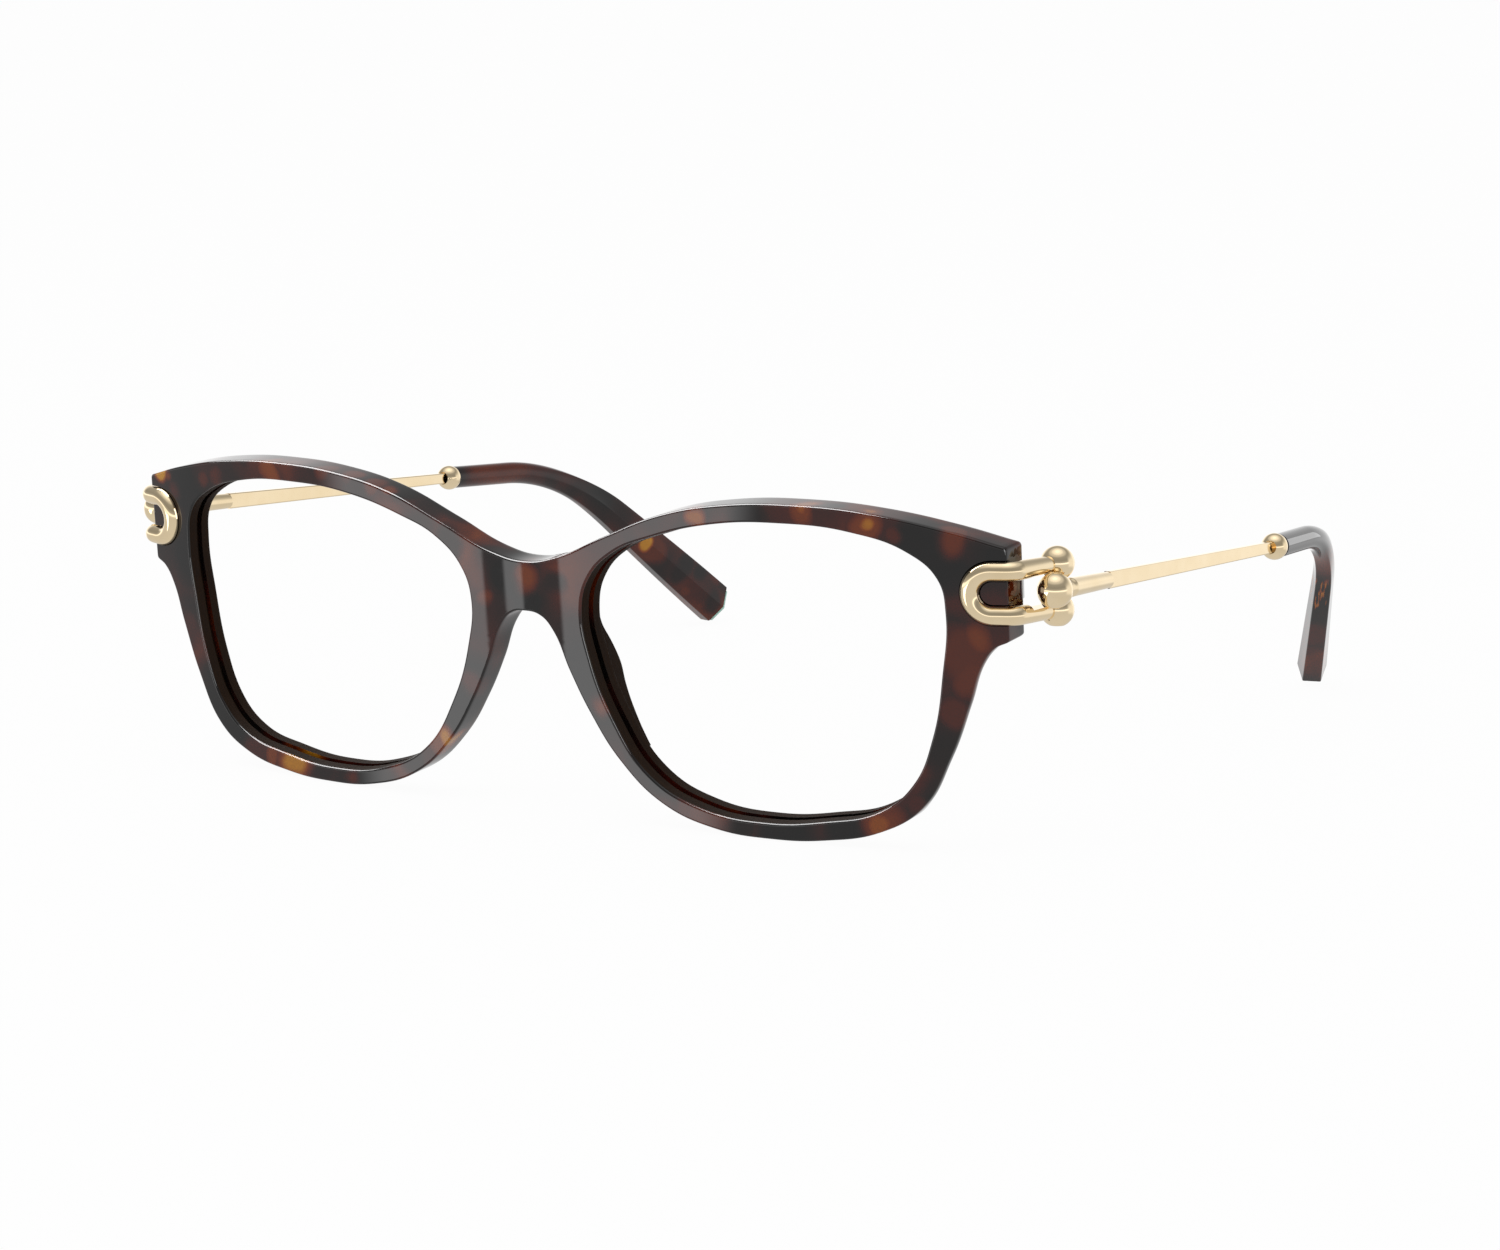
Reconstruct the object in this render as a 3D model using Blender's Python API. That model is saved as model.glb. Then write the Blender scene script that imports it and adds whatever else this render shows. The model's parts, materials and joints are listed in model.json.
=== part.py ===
"""Eyeglasses frame: acetate front, half-sunk metal shackle hinges, metal temples and acetate tips.

Sizes are in millimetres and are scaled to metres when a piece is added to the scene.
Left means the wearer's left, which is +X. The front faces -Y and the temples run back along +Y.
"""

import math

import bmesh
import bpy
from mathutils import Matrix, Vector

MM = 0.001
LEFT = 1
RIGHT = -1
SIDES = {LEFT: "left", RIGHT: "right"}

# The front: a flat plate that is cut to outline and then bowed
FRONT_THICKNESS = 4.5
EDGE_CHAMFER = 0.35
EDGE_GROWTH = -0.15
FACE_BOW_SQUARE = 0.000807
FACE_BOW_FOURTH = 0.000000157
OUTLINE_STEPS = 3
PANTOSCOPIC_TILT = math.radians(4.0)

# Half of the front's outline, from the bridge's top round the end piece to the bridge's underside
BRIDGE_TOP = (0, 0)
BRIDGE_UNDERSIDE = (0, -6.5)
END_PIECE_TOP = (69.2, 5.6)
END_PIECE_FOOT = (69.2, -6.35)
BROW_LINE = [(5.2, 0.9), (13.2, 4.35), (22.0, 7.9), (31.0, 9.75), (41.5, 10.3), (52.0, 9.6), (62.3, 7.6)]
CHEEK_LINE = [
    (67.4, -7.25), (65.7, -9.6), (63.9, -15.0), (61.2, -22.3), (57.4, -29.0), (51.8, -32.5),
    (44.0, -34.2), (36.5, -34.65), (28.0, -34.0), (20.2, -31.3), (14.0, -26.0), (9.8, -20.0),
    (6.8, -14.3), (4.4, -8.9), (2.5, -7.0),
]

# One lens opening, from its nasal side over the top
LENS_OPENING = [
    (8.75, -5.9), (10.1, -1.4), (14.0, 2.45), (20.2, 5.1), (29.5, 7.45), (39.0, 8.15), (49.4, 7.4),
    (57.0, 4.95), (60.7, 1.6), (61.65, -3.0), (61.0, -11.0), (59.4, -19.7), (56.6, -26.1),
    (52.0, -30.0), (44.0, -32.0), (35.5, -32.85), (26.0, -31.75), (18.3, -28.0), (12.8, -20.4),
    (9.6, -12.0),
]
LENS_CENTRE = (35.2, -12.3)
OPENING_TAPER = 0.3
GROOVE_DEPTH = 0.9
GROOVE_WIDTH = 1.0
GROOVE_BEHIND_FACE = 2.35

# The rear outer edge is eased most on the temporal side, below the end piece
REAR_EASE = 1.8
EASE_TEMPORAL = (38, 50)
EASE_BELOW = (6, 10)
EASE_ABOVE = (32, 24)

# Nose pads, as stations down the nasal rim: height z, lens-side x, nose-side x, rise behind the rim
PAD_STATIONS = [
    (-6.8, 8.7, 6.2, 0.3), (-9.0, 8.9, 5.3, 1.0), (-11.6, 9.5, 6.0, 2.5), (-14.5, 10.4, 7.3, 3.1),
    (-17.0, 11.3, 8.6, 2.5), (-19.5, 12.5, 10.0, 1.8), (-22.5, 14.2, 11.9, 1.0), (-25.0, 15.9, 13.8, 0.3),
]
PAD_SEAT_GAP = 0.05

# Shackle hinge: a U of round bar that is sunk to half its depth in the front
BOW_CENTRE_X = 67.6
BOW_CENTRE_Z = -0.1
BOW_RADIUS = 2.9
BOW_BAR_RADIUS = 1.29
ARM_END_RADIUS = 1.06
ARM_CORNER_X = 70.15
ARM_CORNER_RADIUS = 2.0
SHACKLE_POCKET_GAP = 0.1
END_BALL_RADIUS = 2.26
HINGE_X = 71.7
HINGE_BACK = 16.9
HINGE_RISE = 0.17
END_BALL_SPACING = 6.08
HINGE_GAP_HALF = 1.14

# Pivot screw, thrust washers and the knuckle between the end balls
SCREW_RADIUS = 0.6
SCREW_BORE_RADIUS = 0.68
SCREW_HEAD_RADIUS = 0.95
SCREW_HEAD_BORE_RADIUS = 1.05
SCREW_HEAD_SEAT = -4.5
SCREW_HEAD_HEIGHT = 0.45
SCREW_TIP = 4.3
SCREW_BORE_TIP = 4.5
WASHER_RADIUS = 1.0
WASHER_THICKNESS = 0.2
KNUCKLE_RADIUS = 1.45
KNUCKLE_HALF_HEIGHT = 0.85
RUNNING_GAP = 0.045

# Anchor screws that hold the shackle from behind the end piece
ANCHOR_X = 67.5
ANCHOR_RADIUS = 0.5
ANCHOR_REACH = 0.45
ANCHOR_HEAD_RADIUS = 1.0
ANCHOR_HEAD_HEIGHT = 0.8
ANCHOR_HEAD_SINK = 0.15
ANCHOR_GAP = 0.1
HEAD_OVERLAP = 0.2

# Temple, measured from the middle of the hinge axis with x outwards, y back and z up;
# the tip's edge and ridge have a size at its start and at its end
TEMPLE_BALL = (1.42, -3.42, 0.1)
TEMPLE_BALL_RADIUS = 2.38
FERRULE_CENTRE = (0.27, 67.5, -4.44)
BEND_CORNER = (-3.03, 94.66, -6.16)
BEND_RADIUS = 35.6
TIP_END = (-16.77, 120.98, -32.1)
TIP_ROLL = math.radians(5.7)
NECK_RADIUS = 0.92
NECK_LENGTH = 4.0
ROD_START_RADIUS = 1.28
ROD_END_RADIUS = 1.12
ROD_LENGTH = 15.4
TENON_RADIUS = 0.45
TENON_LENGTH = 3.0
BAR_START_HEIGHT = 2.3
BAR_END_HEIGHT = 1.6
BAR_THICKNESS = 1.0
CORE_HEIGHT = 1.3
CORE_THICKNESS = 0.8
CORE_END_MARGIN = 14.0
FERRULE_RADIUS = 1.92
FERRULE_CUT = 0.8
FERRULE_MOUTH_RADIUS = 0.95
FIT_GAP = 0.08
TIP_JOINT_GAP = 0.25
TIP_START_RADIUS = 1.74
TIP_HALF_WIDTH = 3.28
TIP_RIDGE_HALF = (0.73, 2.29)
TIP_EDGE_HALF = (0.83, 1.41)
TIP_UPPER_CUT = 1.0
TIP_LOWER_CUT = 0.3
INLAY_THICKNESS = 0.45
INLAY_SHARE = 0.86

# Fineness of round forms
BALL_SEGMENTS = 18
BALL_RINGS = 10
BAR_BEVEL_RESOLUTION = 4
BOW_STEPS = 10
PIN_SEGMENTS = 14
PIN_TURN = math.radians(7)
TIP_SIDE_STEPS = 4
TIP_RIDGES = (2 * TIP_SIDE_STEPS, 5 * TIP_SIDE_STEPS)
TIP_CORNER_ANGLE = math.radians(28)

# Finishes: base colour, metallic, roughness
FINISHES = {
    "acetate": ((0.045, 0.018, 0.011, 1), 0.0, 0.12),
    "gold": ((0.80, 0.66, 0.42, 1), 1.0, 0.14),
    "steel": ((0.56, 0.55, 0.52, 1), 1.0, 0.25),
    "polymer": ((0.85, 0.83, 0.78, 1), 0.0, 0.4),
    "mint": ((0.42, 0.74, 0.62, 1), 0.0, 0.25),
}


# Scene and objects

def clear_scene():
    for item in list(bpy.data.objects):
        bpy.data.objects.remove(item, do_unlink=True)
    for collection in list(bpy.data.collections):
        bpy.data.collections.remove(collection)


def new_collection(name):
    collection = bpy.data.collections.new(name)
    bpy.context.scene.collection.children.link(collection)
    return collection


def new_empty(name, collection, location=(0, 0, 0), tilt=0, parent=None):
    empty = bpy.data.objects.new(name, None)
    empty.location = Vector(location) * MM
    empty.rotation_euler = (tilt, 0, 0)
    empty.empty_display_size = 5 * MM
    empty.parent = parent
    collection.objects.link(empty)
    return empty


def make_finishes():
    materials = {}
    for name, (colour, metallic, roughness) in FINISHES.items():
        material = bpy.data.materials.new(name)
        material.use_nodes = True
        shader = material.node_tree.nodes["Principled BSDF"]
        shader.inputs["Base Color"].default_value = colour
        shader.inputs["Metallic"].default_value = metallic
        shader.inputs["Roughness"].default_value = roughness
        materials[name] = material
    return materials


def tidy_mesh(mesh):
    """Weld a closed mesh, point its faces outwards and split it into triangles."""
    work = bmesh.new()
    work.from_mesh(mesh)
    bmesh.ops.remove_doubles(work, verts=work.verts, dist=0.0005)
    bmesh.ops.recalc_face_normals(work, faces=work.faces)
    bmesh.ops.triangulate(work, faces=work.faces)
    work.to_mesh(mesh)
    work.free()
    return mesh


class Bench:
    """The collections and finishes that every piece is added to."""

    def __init__(self):
        self.parts = new_collection("eyeglasses_frame")
        self.cutters = new_collection("cutters")
        self.finishes = make_finishes()

    def node(self, name, mesh, finish, parent):
        mesh.name = name
        mesh.transform(Matrix.Scale(MM, 4))
        mesh.materials.clear()
        mesh.materials.append(self.finishes[finish])
        mesh.shade_smooth()
        mesh.set_sharp_from_angle(angle=math.radians(35))
        piece = bpy.data.objects.new(name, mesh)
        piece.parent = parent
        self.parts.objects.link(piece)
        return piece

    def tool(self, name, mesh, parent):
        mesh.name = name
        mesh.transform(Matrix.Scale(MM, 4))
        piece = bpy.data.objects.new(name, mesh)
        piece.parent = parent
        piece.hide_render = True
        piece.display_type = "WIRE"
        self.cutters.objects.link(piece)
        return piece


def combine(piece, tool, operation):
    modifier = piece.modifiers.new(tool.name, "BOOLEAN")
    modifier.object = tool
    modifier.operation = operation
    modifier.solver = "EXACT"


# Basic meshes

def mesh_from_curve(curve):
    holder = bpy.data.objects.new(curve.name, curve)
    bpy.context.scene.collection.objects.link(holder)
    evaluated = holder.evaluated_get(bpy.context.evaluated_depsgraph_get())
    mesh = bpy.data.meshes.new_from_object(evaluated)
    bpy.data.objects.remove(holder)
    bpy.data.curves.remove(curve)
    return mesh


def ball(centre, radius):
    work = bmesh.new()
    bmesh.ops.create_uvsphere(
        work, u_segments=BALL_SEGMENTS, v_segments=BALL_RINGS, radius=radius, matrix=Matrix.Translation(centre))
    return finish_bmesh(work)


def pin(start, end, radius, segments=PIN_SEGMENTS):
    """A capped cylinder between two points."""
    start = Vector(start)
    along = Vector(end) - start
    turn = along.to_track_quat("Z", "X").to_matrix().to_4x4() @ Matrix.Rotation(PIN_TURN, 4, "Z")
    work = bmesh.new()
    bmesh.ops.create_cone(
        work, cap_ends=True, segments=segments, radius1=radius, radius2=radius, depth=along.length,
        matrix=Matrix.Translation(start + along / 2) @ turn)
    return finish_bmesh(work)


def block(centre, size):
    work = bmesh.new()
    bmesh.ops.create_cube(work, size=1, matrix=Matrix.Translation(centre) @ Matrix.Diagonal((*size, 1)))
    return finish_bmesh(work)


def finish_bmesh(work):
    mesh = bpy.data.meshes.new("mesh")
    work.to_mesh(mesh)
    work.free()
    return mesh


def round_bar(places, radii):
    """A bar of round section through the given points, with closed ends."""
    curve = bpy.data.curves.new("round_bar", "CURVE")
    curve.dimensions = "3D"
    curve.fill_mode = "FULL"
    curve.bevel_depth = 1
    curve.bevel_resolution = BAR_BEVEL_RESOLUTION
    curve.use_fill_caps = True
    spline = curve.splines.new("POLY")
    spline.points.add(len(places) - 1)
    for point, place, radius in zip(spline.points, places, radii):
        point.co = (*place, 1)
        point.radius = radius
    return tidy_mesh(mesh_from_curve(curve))


def loft(rings, ridge=None):
    """Skin closed rings of equal length; ridge names two ring points where the last cap is folded."""
    work = bmesh.new()
    verts = [[work.verts.new(place) for place in ring] for ring in rings]
    count = len(rings[0])
    for near, far in zip(verts, verts[1:]):
        for index in range(count):
            after = (index + 1) % count
            work.faces.new((near[index], near[after], far[after], far[index]))
    work.faces.new(verts[0])
    if ridge is None:
        work.faces.new(verts[-1])
    else:
        first, second = ridge
        work.faces.new(verts[-1][first:second + 1])
        work.faces.new(verts[-1][second:] + verts[-1][:first + 1])
    return tidy_mesh(finish_bmesh(work))


def smooth_step(value):
    value = min(max(value, 0.0), 1.0)
    return value * value * (3 - 2 * value)


def rounded_corner(start, corner, end, radius, steps):
    """The points of an arc that turns from one straight run to the next."""
    towards_start = (start - corner).normalized()
    towards_end = (end - corner).normalized()
    half_angle = towards_start.angle(towards_end) / 2
    centre = corner + (towards_start + towards_end).normalized() * radius / math.sin(half_angle)
    first = corner + towards_start * radius / math.tan(half_angle) - centre
    last = corner + towards_end * radius / math.tan(half_angle) - centre
    axis = first.cross(last).normalized()
    turn = first.angle(last)
    return [centre + Matrix.Rotation(turn * step / steps, 3, axis) @ first for step in range(steps + 1)]


# The front

def face_bow(x):
    """How far the front's face lies behind the bridge, at x from the middle."""
    return FACE_BOW_SQUARE * x ** 2 + FACE_BOW_FOURTH * x ** 4


def mirrored(points):
    return [(-x, z) for x, z in points]


def front_outline():
    half = BROW_LINE + [END_PIECE_TOP, END_PIECE_FOOT] + CHEEK_LINE
    return [BRIDGE_TOP] + half + [BRIDGE_UNDERSIDE] + mirrored(half)[::-1]


def add_outline(curve, outline):
    """Add a closed spline through the outline's points, smooth except at the end pieces' corners."""
    corners = {END_PIECE_TOP, END_PIECE_FOOT, *mirrored([END_PIECE_TOP, END_PIECE_FOOT])}
    spline = curve.splines.new("BEZIER")
    spline.bezier_points.add(len(outline) - 1)
    spline.use_cyclic_u = True
    spline.resolution_u = OUTLINE_STEPS
    for point, (x, z) in zip(spline.bezier_points, outline):
        point.co = (x, z, 0)
        handle = "VECTOR" if (x, z) in corners else "AUTO"
        point.handle_left_type = handle
        point.handle_right_type = handle


def towards_lens(x, z, step):
    """The point moved by step towards the centre of the lens on its own side."""
    offset = Vector((math.copysign(LENS_CENTRE[0], x), LENS_CENTRE[1])) - Vector((x, z))
    return Vector((x, z)) + offset.normalized() * step


def is_inside(x, z, loop):
    crossings = 0
    for (near_x, near_z), (far_x, far_z) in zip(loop, loop[1:] + loop[:1]):
        if (near_z > z) != (far_z > z):
            crossings += x < near_x + (z - near_z) * (far_x - near_x) / (far_z - near_z)
    return crossings % 2 == 1


def shape_rear_edge(x, z):
    """Narrow the opening towards its rear edge, and ease the rear outer edge of the rim."""
    near_opening = [towards_lens(*point, -1.0) for point in LENS_OPENING]
    if is_inside(abs(x), z, near_opening):
        return towards_lens(x, z, OPENING_TAPER)
    ease = REAR_EASE
    for value, (start, stop) in ((abs(x), EASE_TEMPORAL), (-z, EASE_BELOW), (-z, EASE_ABOVE)):
        ease *= smooth_step((value - start) / (stop - start))
    return towards_lens(x, z, ease)


def bowed_plate(outlines, thickness, behind_face, chamfer=0, growth=0):
    """A plate with the given outlines whose middle lies behind_face and that follows the face's bow."""
    curve = bpy.data.curves.new("plate", "CURVE")
    curve.dimensions = "2D"
    curve.fill_mode = "BOTH"
    curve.extrude = thickness / 2 - chamfer
    curve.bevel_depth = chamfer
    curve.bevel_resolution = 0
    curve.offset = growth
    for outline in outlines:
        add_outline(curve, outline)
    mesh = mesh_from_curve(curve)
    for vertex in mesh.vertices:
        x, z, towards_front = vertex.co
        if chamfer and towards_front < 0:
            x, z = shape_rear_edge(x, z)
        vertex.co = (x, behind_face - towards_front + face_bow(x), z)
    return tidy_mesh(mesh)


def add_front(bench, carrier):
    openings = [LENS_OPENING, mirrored(LENS_OPENING)]
    plate = bowed_plate(
        [front_outline(), *openings], FRONT_THICKNESS, FRONT_THICKNESS / 2, EDGE_CHAMFER, EDGE_GROWTH)
    front = bench.node("front_frame", plate, "acetate", carrier)
    for side, opening in zip(SIDES, openings):
        groove = bowed_plate([opening], GROOVE_WIDTH, GROOVE_BEHIND_FACE, 0, GROOVE_DEPTH)
        combine(front, bench.tool(f"lens_groove_{SIDES[side]}", groove, carrier), "DIFFERENCE")
    return front


def add_nose_pad(bench, carrier, side):
    rings = []
    for z, lens_x, nose_x, rise in PAD_STATIONS:
        width = lens_x - nose_x
        section = [
            (lens_x, 0), (lens_x, 0.75 * rise), (lens_x - 0.14 * width, 0.96 * rise),
            (lens_x - 0.34 * width, rise), (lens_x - 0.58 * width, 0.86 * rise),
            (lens_x - 0.82 * width, 0.52 * rise), (nose_x, 0.12 * rise), (nose_x, 0),
        ]
        seat = FRONT_THICKNESS + PAD_SEAT_GAP
        rings.append([(side * x, face_bow(x) + seat + depth, z) for x, depth in section])
    bench.node(f"nose_pad_{SIDES[side]}", loft(rings), "acetate", carrier)


# The shackle hinge

def shackle_path(side, end_balls):
    """Centre line of the shackle from the upper end ball round the bow to the lower one."""
    def on_face(x, z):
        return Vector((side * x, face_bow(x), z))

    runs = []
    for end_ball, lift in zip(end_balls, (1, -1)):
        arm_z = BOW_CENTRE_Z + lift * BOW_RADIUS
        corner = on_face(ARM_CORNER_X, arm_z)
        bend = rounded_corner(on_face(BOW_CENTRE_X, arm_z), corner, end_ball, ARM_CORNER_RADIUS, 5)
        runs.append([*bend, end_ball])
    bow = []
    for step in range(BOW_STEPS + 1):
        angle = math.pi * (0.5 + step / BOW_STEPS)
        x = BOW_CENTRE_X + BOW_RADIUS * math.cos(angle)
        bow.append(on_face(x, BOW_CENTRE_Z + BOW_RADIUS * math.sin(angle)))
    return runs[0][::-1] + bow + runs[1]


def bar_radii(count, extra=0.0):
    """Bar radius along the shackle: slimmer at the two end balls."""
    middle = [BOW_BAR_RADIUS + extra] * (count - 2)
    return [ARM_END_RADIUS + extra, *middle, ARM_END_RADIUS + extra]


def anchor_places(side):
    """Rear point of the bar and rear face of the front at each anchor screw."""
    for row, lift in (("upper", 1), ("lower", -1)):
        z = BOW_CENTRE_Z + lift * BOW_RADIUS
        face = face_bow(ANCHOR_X)
        x = side * ANCHOR_X
        yield row, Vector((x, face + ANCHOR_REACH, z)), Vector((x, face + FRONT_THICKNESS, z))


def add_shackle(bench, carrier, hinge, front, side, tilt_back):
    name = SIDES[side]
    half = END_BALL_SPACING / 2
    centre = Vector((side * HINGE_X, HINGE_BACK, HINGE_RISE))
    end_balls = [tilt_back @ (centre + Vector((0, 0, lift * half))) for lift in (1, -1)]
    path = shackle_path(side, end_balls)
    shackle = bench.node(f"shackle_{name}", round_bar(path, bar_radii(len(path))), "gold", carrier)
    for row, place in zip(("upper", "lower"), end_balls):
        combine(shackle, bench.tool(f"end_ball_{row}_{name}", ball(place, END_BALL_RADIUS), carrier), "UNION")

    flats = block((0, 0, 0), (4 * END_BALL_RADIUS, 2.4 * END_BALL_RADIUS, 2 * HINGE_GAP_HALF))
    combine(shackle, bench.tool(f"hinge_gap_{name}", flats, hinge), "DIFFERENCE")
    bore = pin((0, 0, -2 * half), (0, 0, SCREW_BORE_TIP), SCREW_BORE_RADIUS)
    combine(shackle, bench.tool(f"pivot_bore_{name}", bore, hinge), "DIFFERENCE")
    head_bore = pin((0, 0, -2 * half), (0, 0, SCREW_HEAD_SEAT), SCREW_HEAD_BORE_RADIUS)
    combine(shackle, bench.tool(f"pivot_head_bore_{name}", head_bore, hinge), "DIFFERENCE")

    pocket = round_bar(path, bar_radii(len(path), SHACKLE_POCKET_GAP))
    combine(front, bench.tool(f"shackle_pocket_{name}", pocket, carrier), "DIFFERENCE")
    for row, bar_point, rear_point in anchor_places(side):
        add_anchor(bench, carrier, front, shackle, f"{row}_{name}", bar_point, rear_point)


def add_anchor(bench, carrier, front, shackle, name, bar_point, rear_point):
    back = Vector((0, 1, 0))
    head_top = rear_point - back * ANCHOR_HEAD_SINK
    head_seat = head_top - back * ANCHOR_HEAD_HEIGHT
    shank = pin(bar_point, head_top - back * HEAD_OVERLAP, ANCHOR_RADIUS)
    screw = bench.node(f"anchor_screw_{name}", shank, "steel", carrier)
    head = bench.tool(f"anchor_head_{name}", pin(head_seat, head_top, ANCHOR_HEAD_RADIUS), carrier)
    combine(screw, head, "UNION")

    hole = pin(bar_point - back * ANCHOR_GAP, rear_point + back, ANCHOR_RADIUS + ANCHOR_GAP)
    hole = bench.tool(f"anchor_hole_{name}", hole, carrier)
    combine(shackle, hole, "DIFFERENCE")
    combine(front, hole, "DIFFERENCE")
    recess = pin(head_seat - back * ANCHOR_GAP, rear_point + 3 * back, ANCHOR_HEAD_RADIUS + ANCHOR_GAP)
    combine(front, bench.tool(f"anchor_recess_{name}", recess, carrier), "DIFFERENCE")


def add_pivot(bench, hinge, side):
    """The pivot screw, which stays with the front, and a washer above and below the knuckle."""
    name = SIDES[side]
    head_top = SCREW_HEAD_SEAT - RUNNING_GAP
    shank = pin((0, 0, head_top - HEAD_OVERLAP), (0, 0, SCREW_TIP), SCREW_RADIUS)
    screw = bench.node(f"hinge_screw_{name}", shank, "steel", hinge)
    head = pin((0, 0, head_top - SCREW_HEAD_HEIGHT), (0, 0, head_top), SCREW_HEAD_RADIUS)
    combine(screw, bench.tool(f"hinge_screw_head_{name}", head, hinge), "UNION")
    for row, lift in (("upper", 1), ("lower", -1)):
        near = KNUCKLE_HALF_HEIGHT + RUNNING_GAP
        washer_mesh = pin((0, 0, lift * near), (0, 0, lift * (near + WASHER_THICKNESS)), WASHER_RADIUS)
        washer = bench.node(f"hinge_washer_{row}_{name}", washer_mesh, "polymer", hinge)
        bore = pin((0, 0, lift * near - 1), (0, 0, lift * near + 1), SCREW_BORE_RADIUS)
        combine(washer, bench.tool(f"washer_bore_{row}_{name}", bore, hinge), "DIFFERENCE")


# The temple

def sided(side, place):
    return Vector((side * place[0], place[1], place[2]))


def tip_path(side, first):
    """Points from the ferrule, round the bend, to the end of the tip."""
    end = sided(side, TIP_END)
    bend = rounded_corner(first, sided(side, BEND_CORNER), end, BEND_RADIUS, 8)
    straight = [first.lerp(bend[0], share) for share in (0, 0.5)]
    paddle = [bend[-1].lerp(end, share) for share in (0.2, 0.4, 0.6, 0.8, 1.0)]
    return straight + bend + paddle


def path_frames(points, side):
    """Each point with its unit directions along the path, across it outwards and up its width.

    The width is turned inwards as the path bends down behind the ear.
    """
    frames = []
    across = Vector((side, 0, 0))
    for index, place in enumerate(points):
        before = points[max(index - 1, 0)]
        after = points[min(index + 1, len(points) - 1)]
        along = (after - before).normalized()
        across = (across - along * across.dot(along)).normalized()
        droop = (points[-1] - points[-2]).normalized()
        roll = TIP_ROLL * smooth_step(along.z / droop.z)
        turned = Matrix.Rotation(-side * roll, 3, along) @ across
        frames.append((place, along, turned, along.cross(turned) * -side))
    return frames


def lengths_along(points):
    lengths = [0.0]
    for near, far in zip(points, points[1:]):
        lengths.append(lengths[-1] + (far - near).length)
    return lengths


def flat_section(frame, height, thickness, corner=0.22):
    """A rectangle with cut corners, square to the path."""
    place, _, across, up = frame
    half_height = height / 2
    half_thickness = thickness / 2
    cut = corner * thickness
    outline = [
        (half_thickness, half_height - cut), (half_thickness - cut, half_height),
        (cut - half_thickness, half_height), (-half_thickness, half_height - cut),
        (-half_thickness, cut - half_height), (cut - half_thickness, -half_height),
        (half_thickness - cut, -half_height), (half_thickness, cut - half_height),
    ]
    return [place + across * x + up * z for x, z in outline]


def between(ends, share):
    start, end = ends
    return start + (end - start) * share


def tip_section(frame, blend, half_width, edge_half, ridge_half):
    """A ring that changes from a circle to a long hexagon with a ridge down each broad side."""
    place, _, across, up = frame
    hexagon = [
        (edge_half, half_width), (-edge_half, half_width), (-ridge_half, 0),
        (-edge_half, -half_width), (edge_half, -half_width), (ridge_half, 0),
    ]
    lean = TIP_CORNER_ANGLE
    angles = [-lean, lean, math.pi / 2, math.pi - lean, math.pi + lean, 1.5 * math.pi, 2 * math.pi - lean]
    ring = []
    for corner in range(6):
        near = Vector(hexagon[corner])
        far = Vector(hexagon[(corner + 1) % 6])
        for step in range(TIP_SIDE_STEPS):
            share = step / TIP_SIDE_STEPS
            angle = angles[corner] + (angles[corner + 1] - angles[corner]) * share
            on_circle = Vector((-math.sin(angle), math.cos(angle))) * TIP_START_RADIUS
            x, z = on_circle.lerp(near.lerp(far, share), blend)
            ring.append(place + across * x + up * z)
    return ring


def cut_end(ring, frame, half_width, shift=0.0):
    """Cut the end of the tip back from its ridge, more above than below."""
    place, along, _, up = frame
    cut = []
    for point in ring:
        height = (point - place).dot(up) / half_width
        back = TIP_UPPER_CUT * height if height > 0 else -TIP_LOWER_CUT * height
        cut.append(point + along * (shift - back))
    return cut


def add_temple(bench, hinge, side):
    name = SIDES[side]
    start = sided(side, TEMPLE_BALL)
    ferrule = sided(side, FERRULE_CENTRE)
    direction = (ferrule - start).normalized()
    add_rod(bench, hinge, name, start, direction)
    tip_start = ferrule + direction * (FERRULE_CUT + TIP_JOINT_GAP)
    bar_start = start + direction * (ROD_LENGTH + FIT_GAP)
    path = tip_path(side, tip_start)
    bar_rings, slot_rings = bar_sections(path, bar_start, ferrule, side)
    bar = bench.node(f"temple_bar_{name}", loft(bar_rings), "gold", hinge)
    tenon = pin(bar_start - direction * TENON_LENGTH, bar_start + direction, TENON_RADIUS)
    combine(bar, bench.tool(f"bar_tenon_{name}", tenon, hinge), "UNION")
    slot = bench.tool(f"core_slot_{name}", loft(slot_rings), hinge)
    add_ferrule(bench, hinge, name, ferrule, direction, slot)
    add_tip(bench, hinge, name, path, side, slot)


def add_rod(bench, hinge, name, start, direction):
    stations = [
        (0, NECK_RADIUS), (NECK_LENGTH, NECK_RADIUS), (NECK_LENGTH + 0.7, ROD_START_RADIUS),
        (ROD_LENGTH - 0.12, ROD_END_RADIUS), (ROD_LENGTH, ROD_END_RADIUS - 0.12),
    ]
    places = [start + direction * distance for distance, _ in stations]
    rod = bench.node(f"temple_rod_{name}", round_bar(places, [radius for _, radius in stations]), "gold", hinge)
    combine(rod, bench.tool(f"temple_ball_{name}", ball(start, TEMPLE_BALL_RADIUS), hinge), "UNION")
    knuckle = pin((0, 0, -KNUCKLE_HALF_HEIGHT), (0, 0, KNUCKLE_HALF_HEIGHT), KNUCKLE_RADIUS)
    combine(rod, bench.tool(f"knuckle_{name}", knuckle, hinge), "UNION")
    bore = pin((0, 0, -3), (0, 0, 3), SCREW_BORE_RADIUS)
    combine(rod, bench.tool(f"knuckle_bore_{name}", bore, hinge), "DIFFERENCE")
    socket = pin(
        start + direction * (ROD_LENGTH - TENON_LENGTH - FIT_GAP), start + direction * (ROD_LENGTH + 1),
        TENON_RADIUS + FIT_GAP)
    combine(rod, bench.tool(f"rod_socket_{name}", socket, hinge), "DIFFERENCE")


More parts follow.
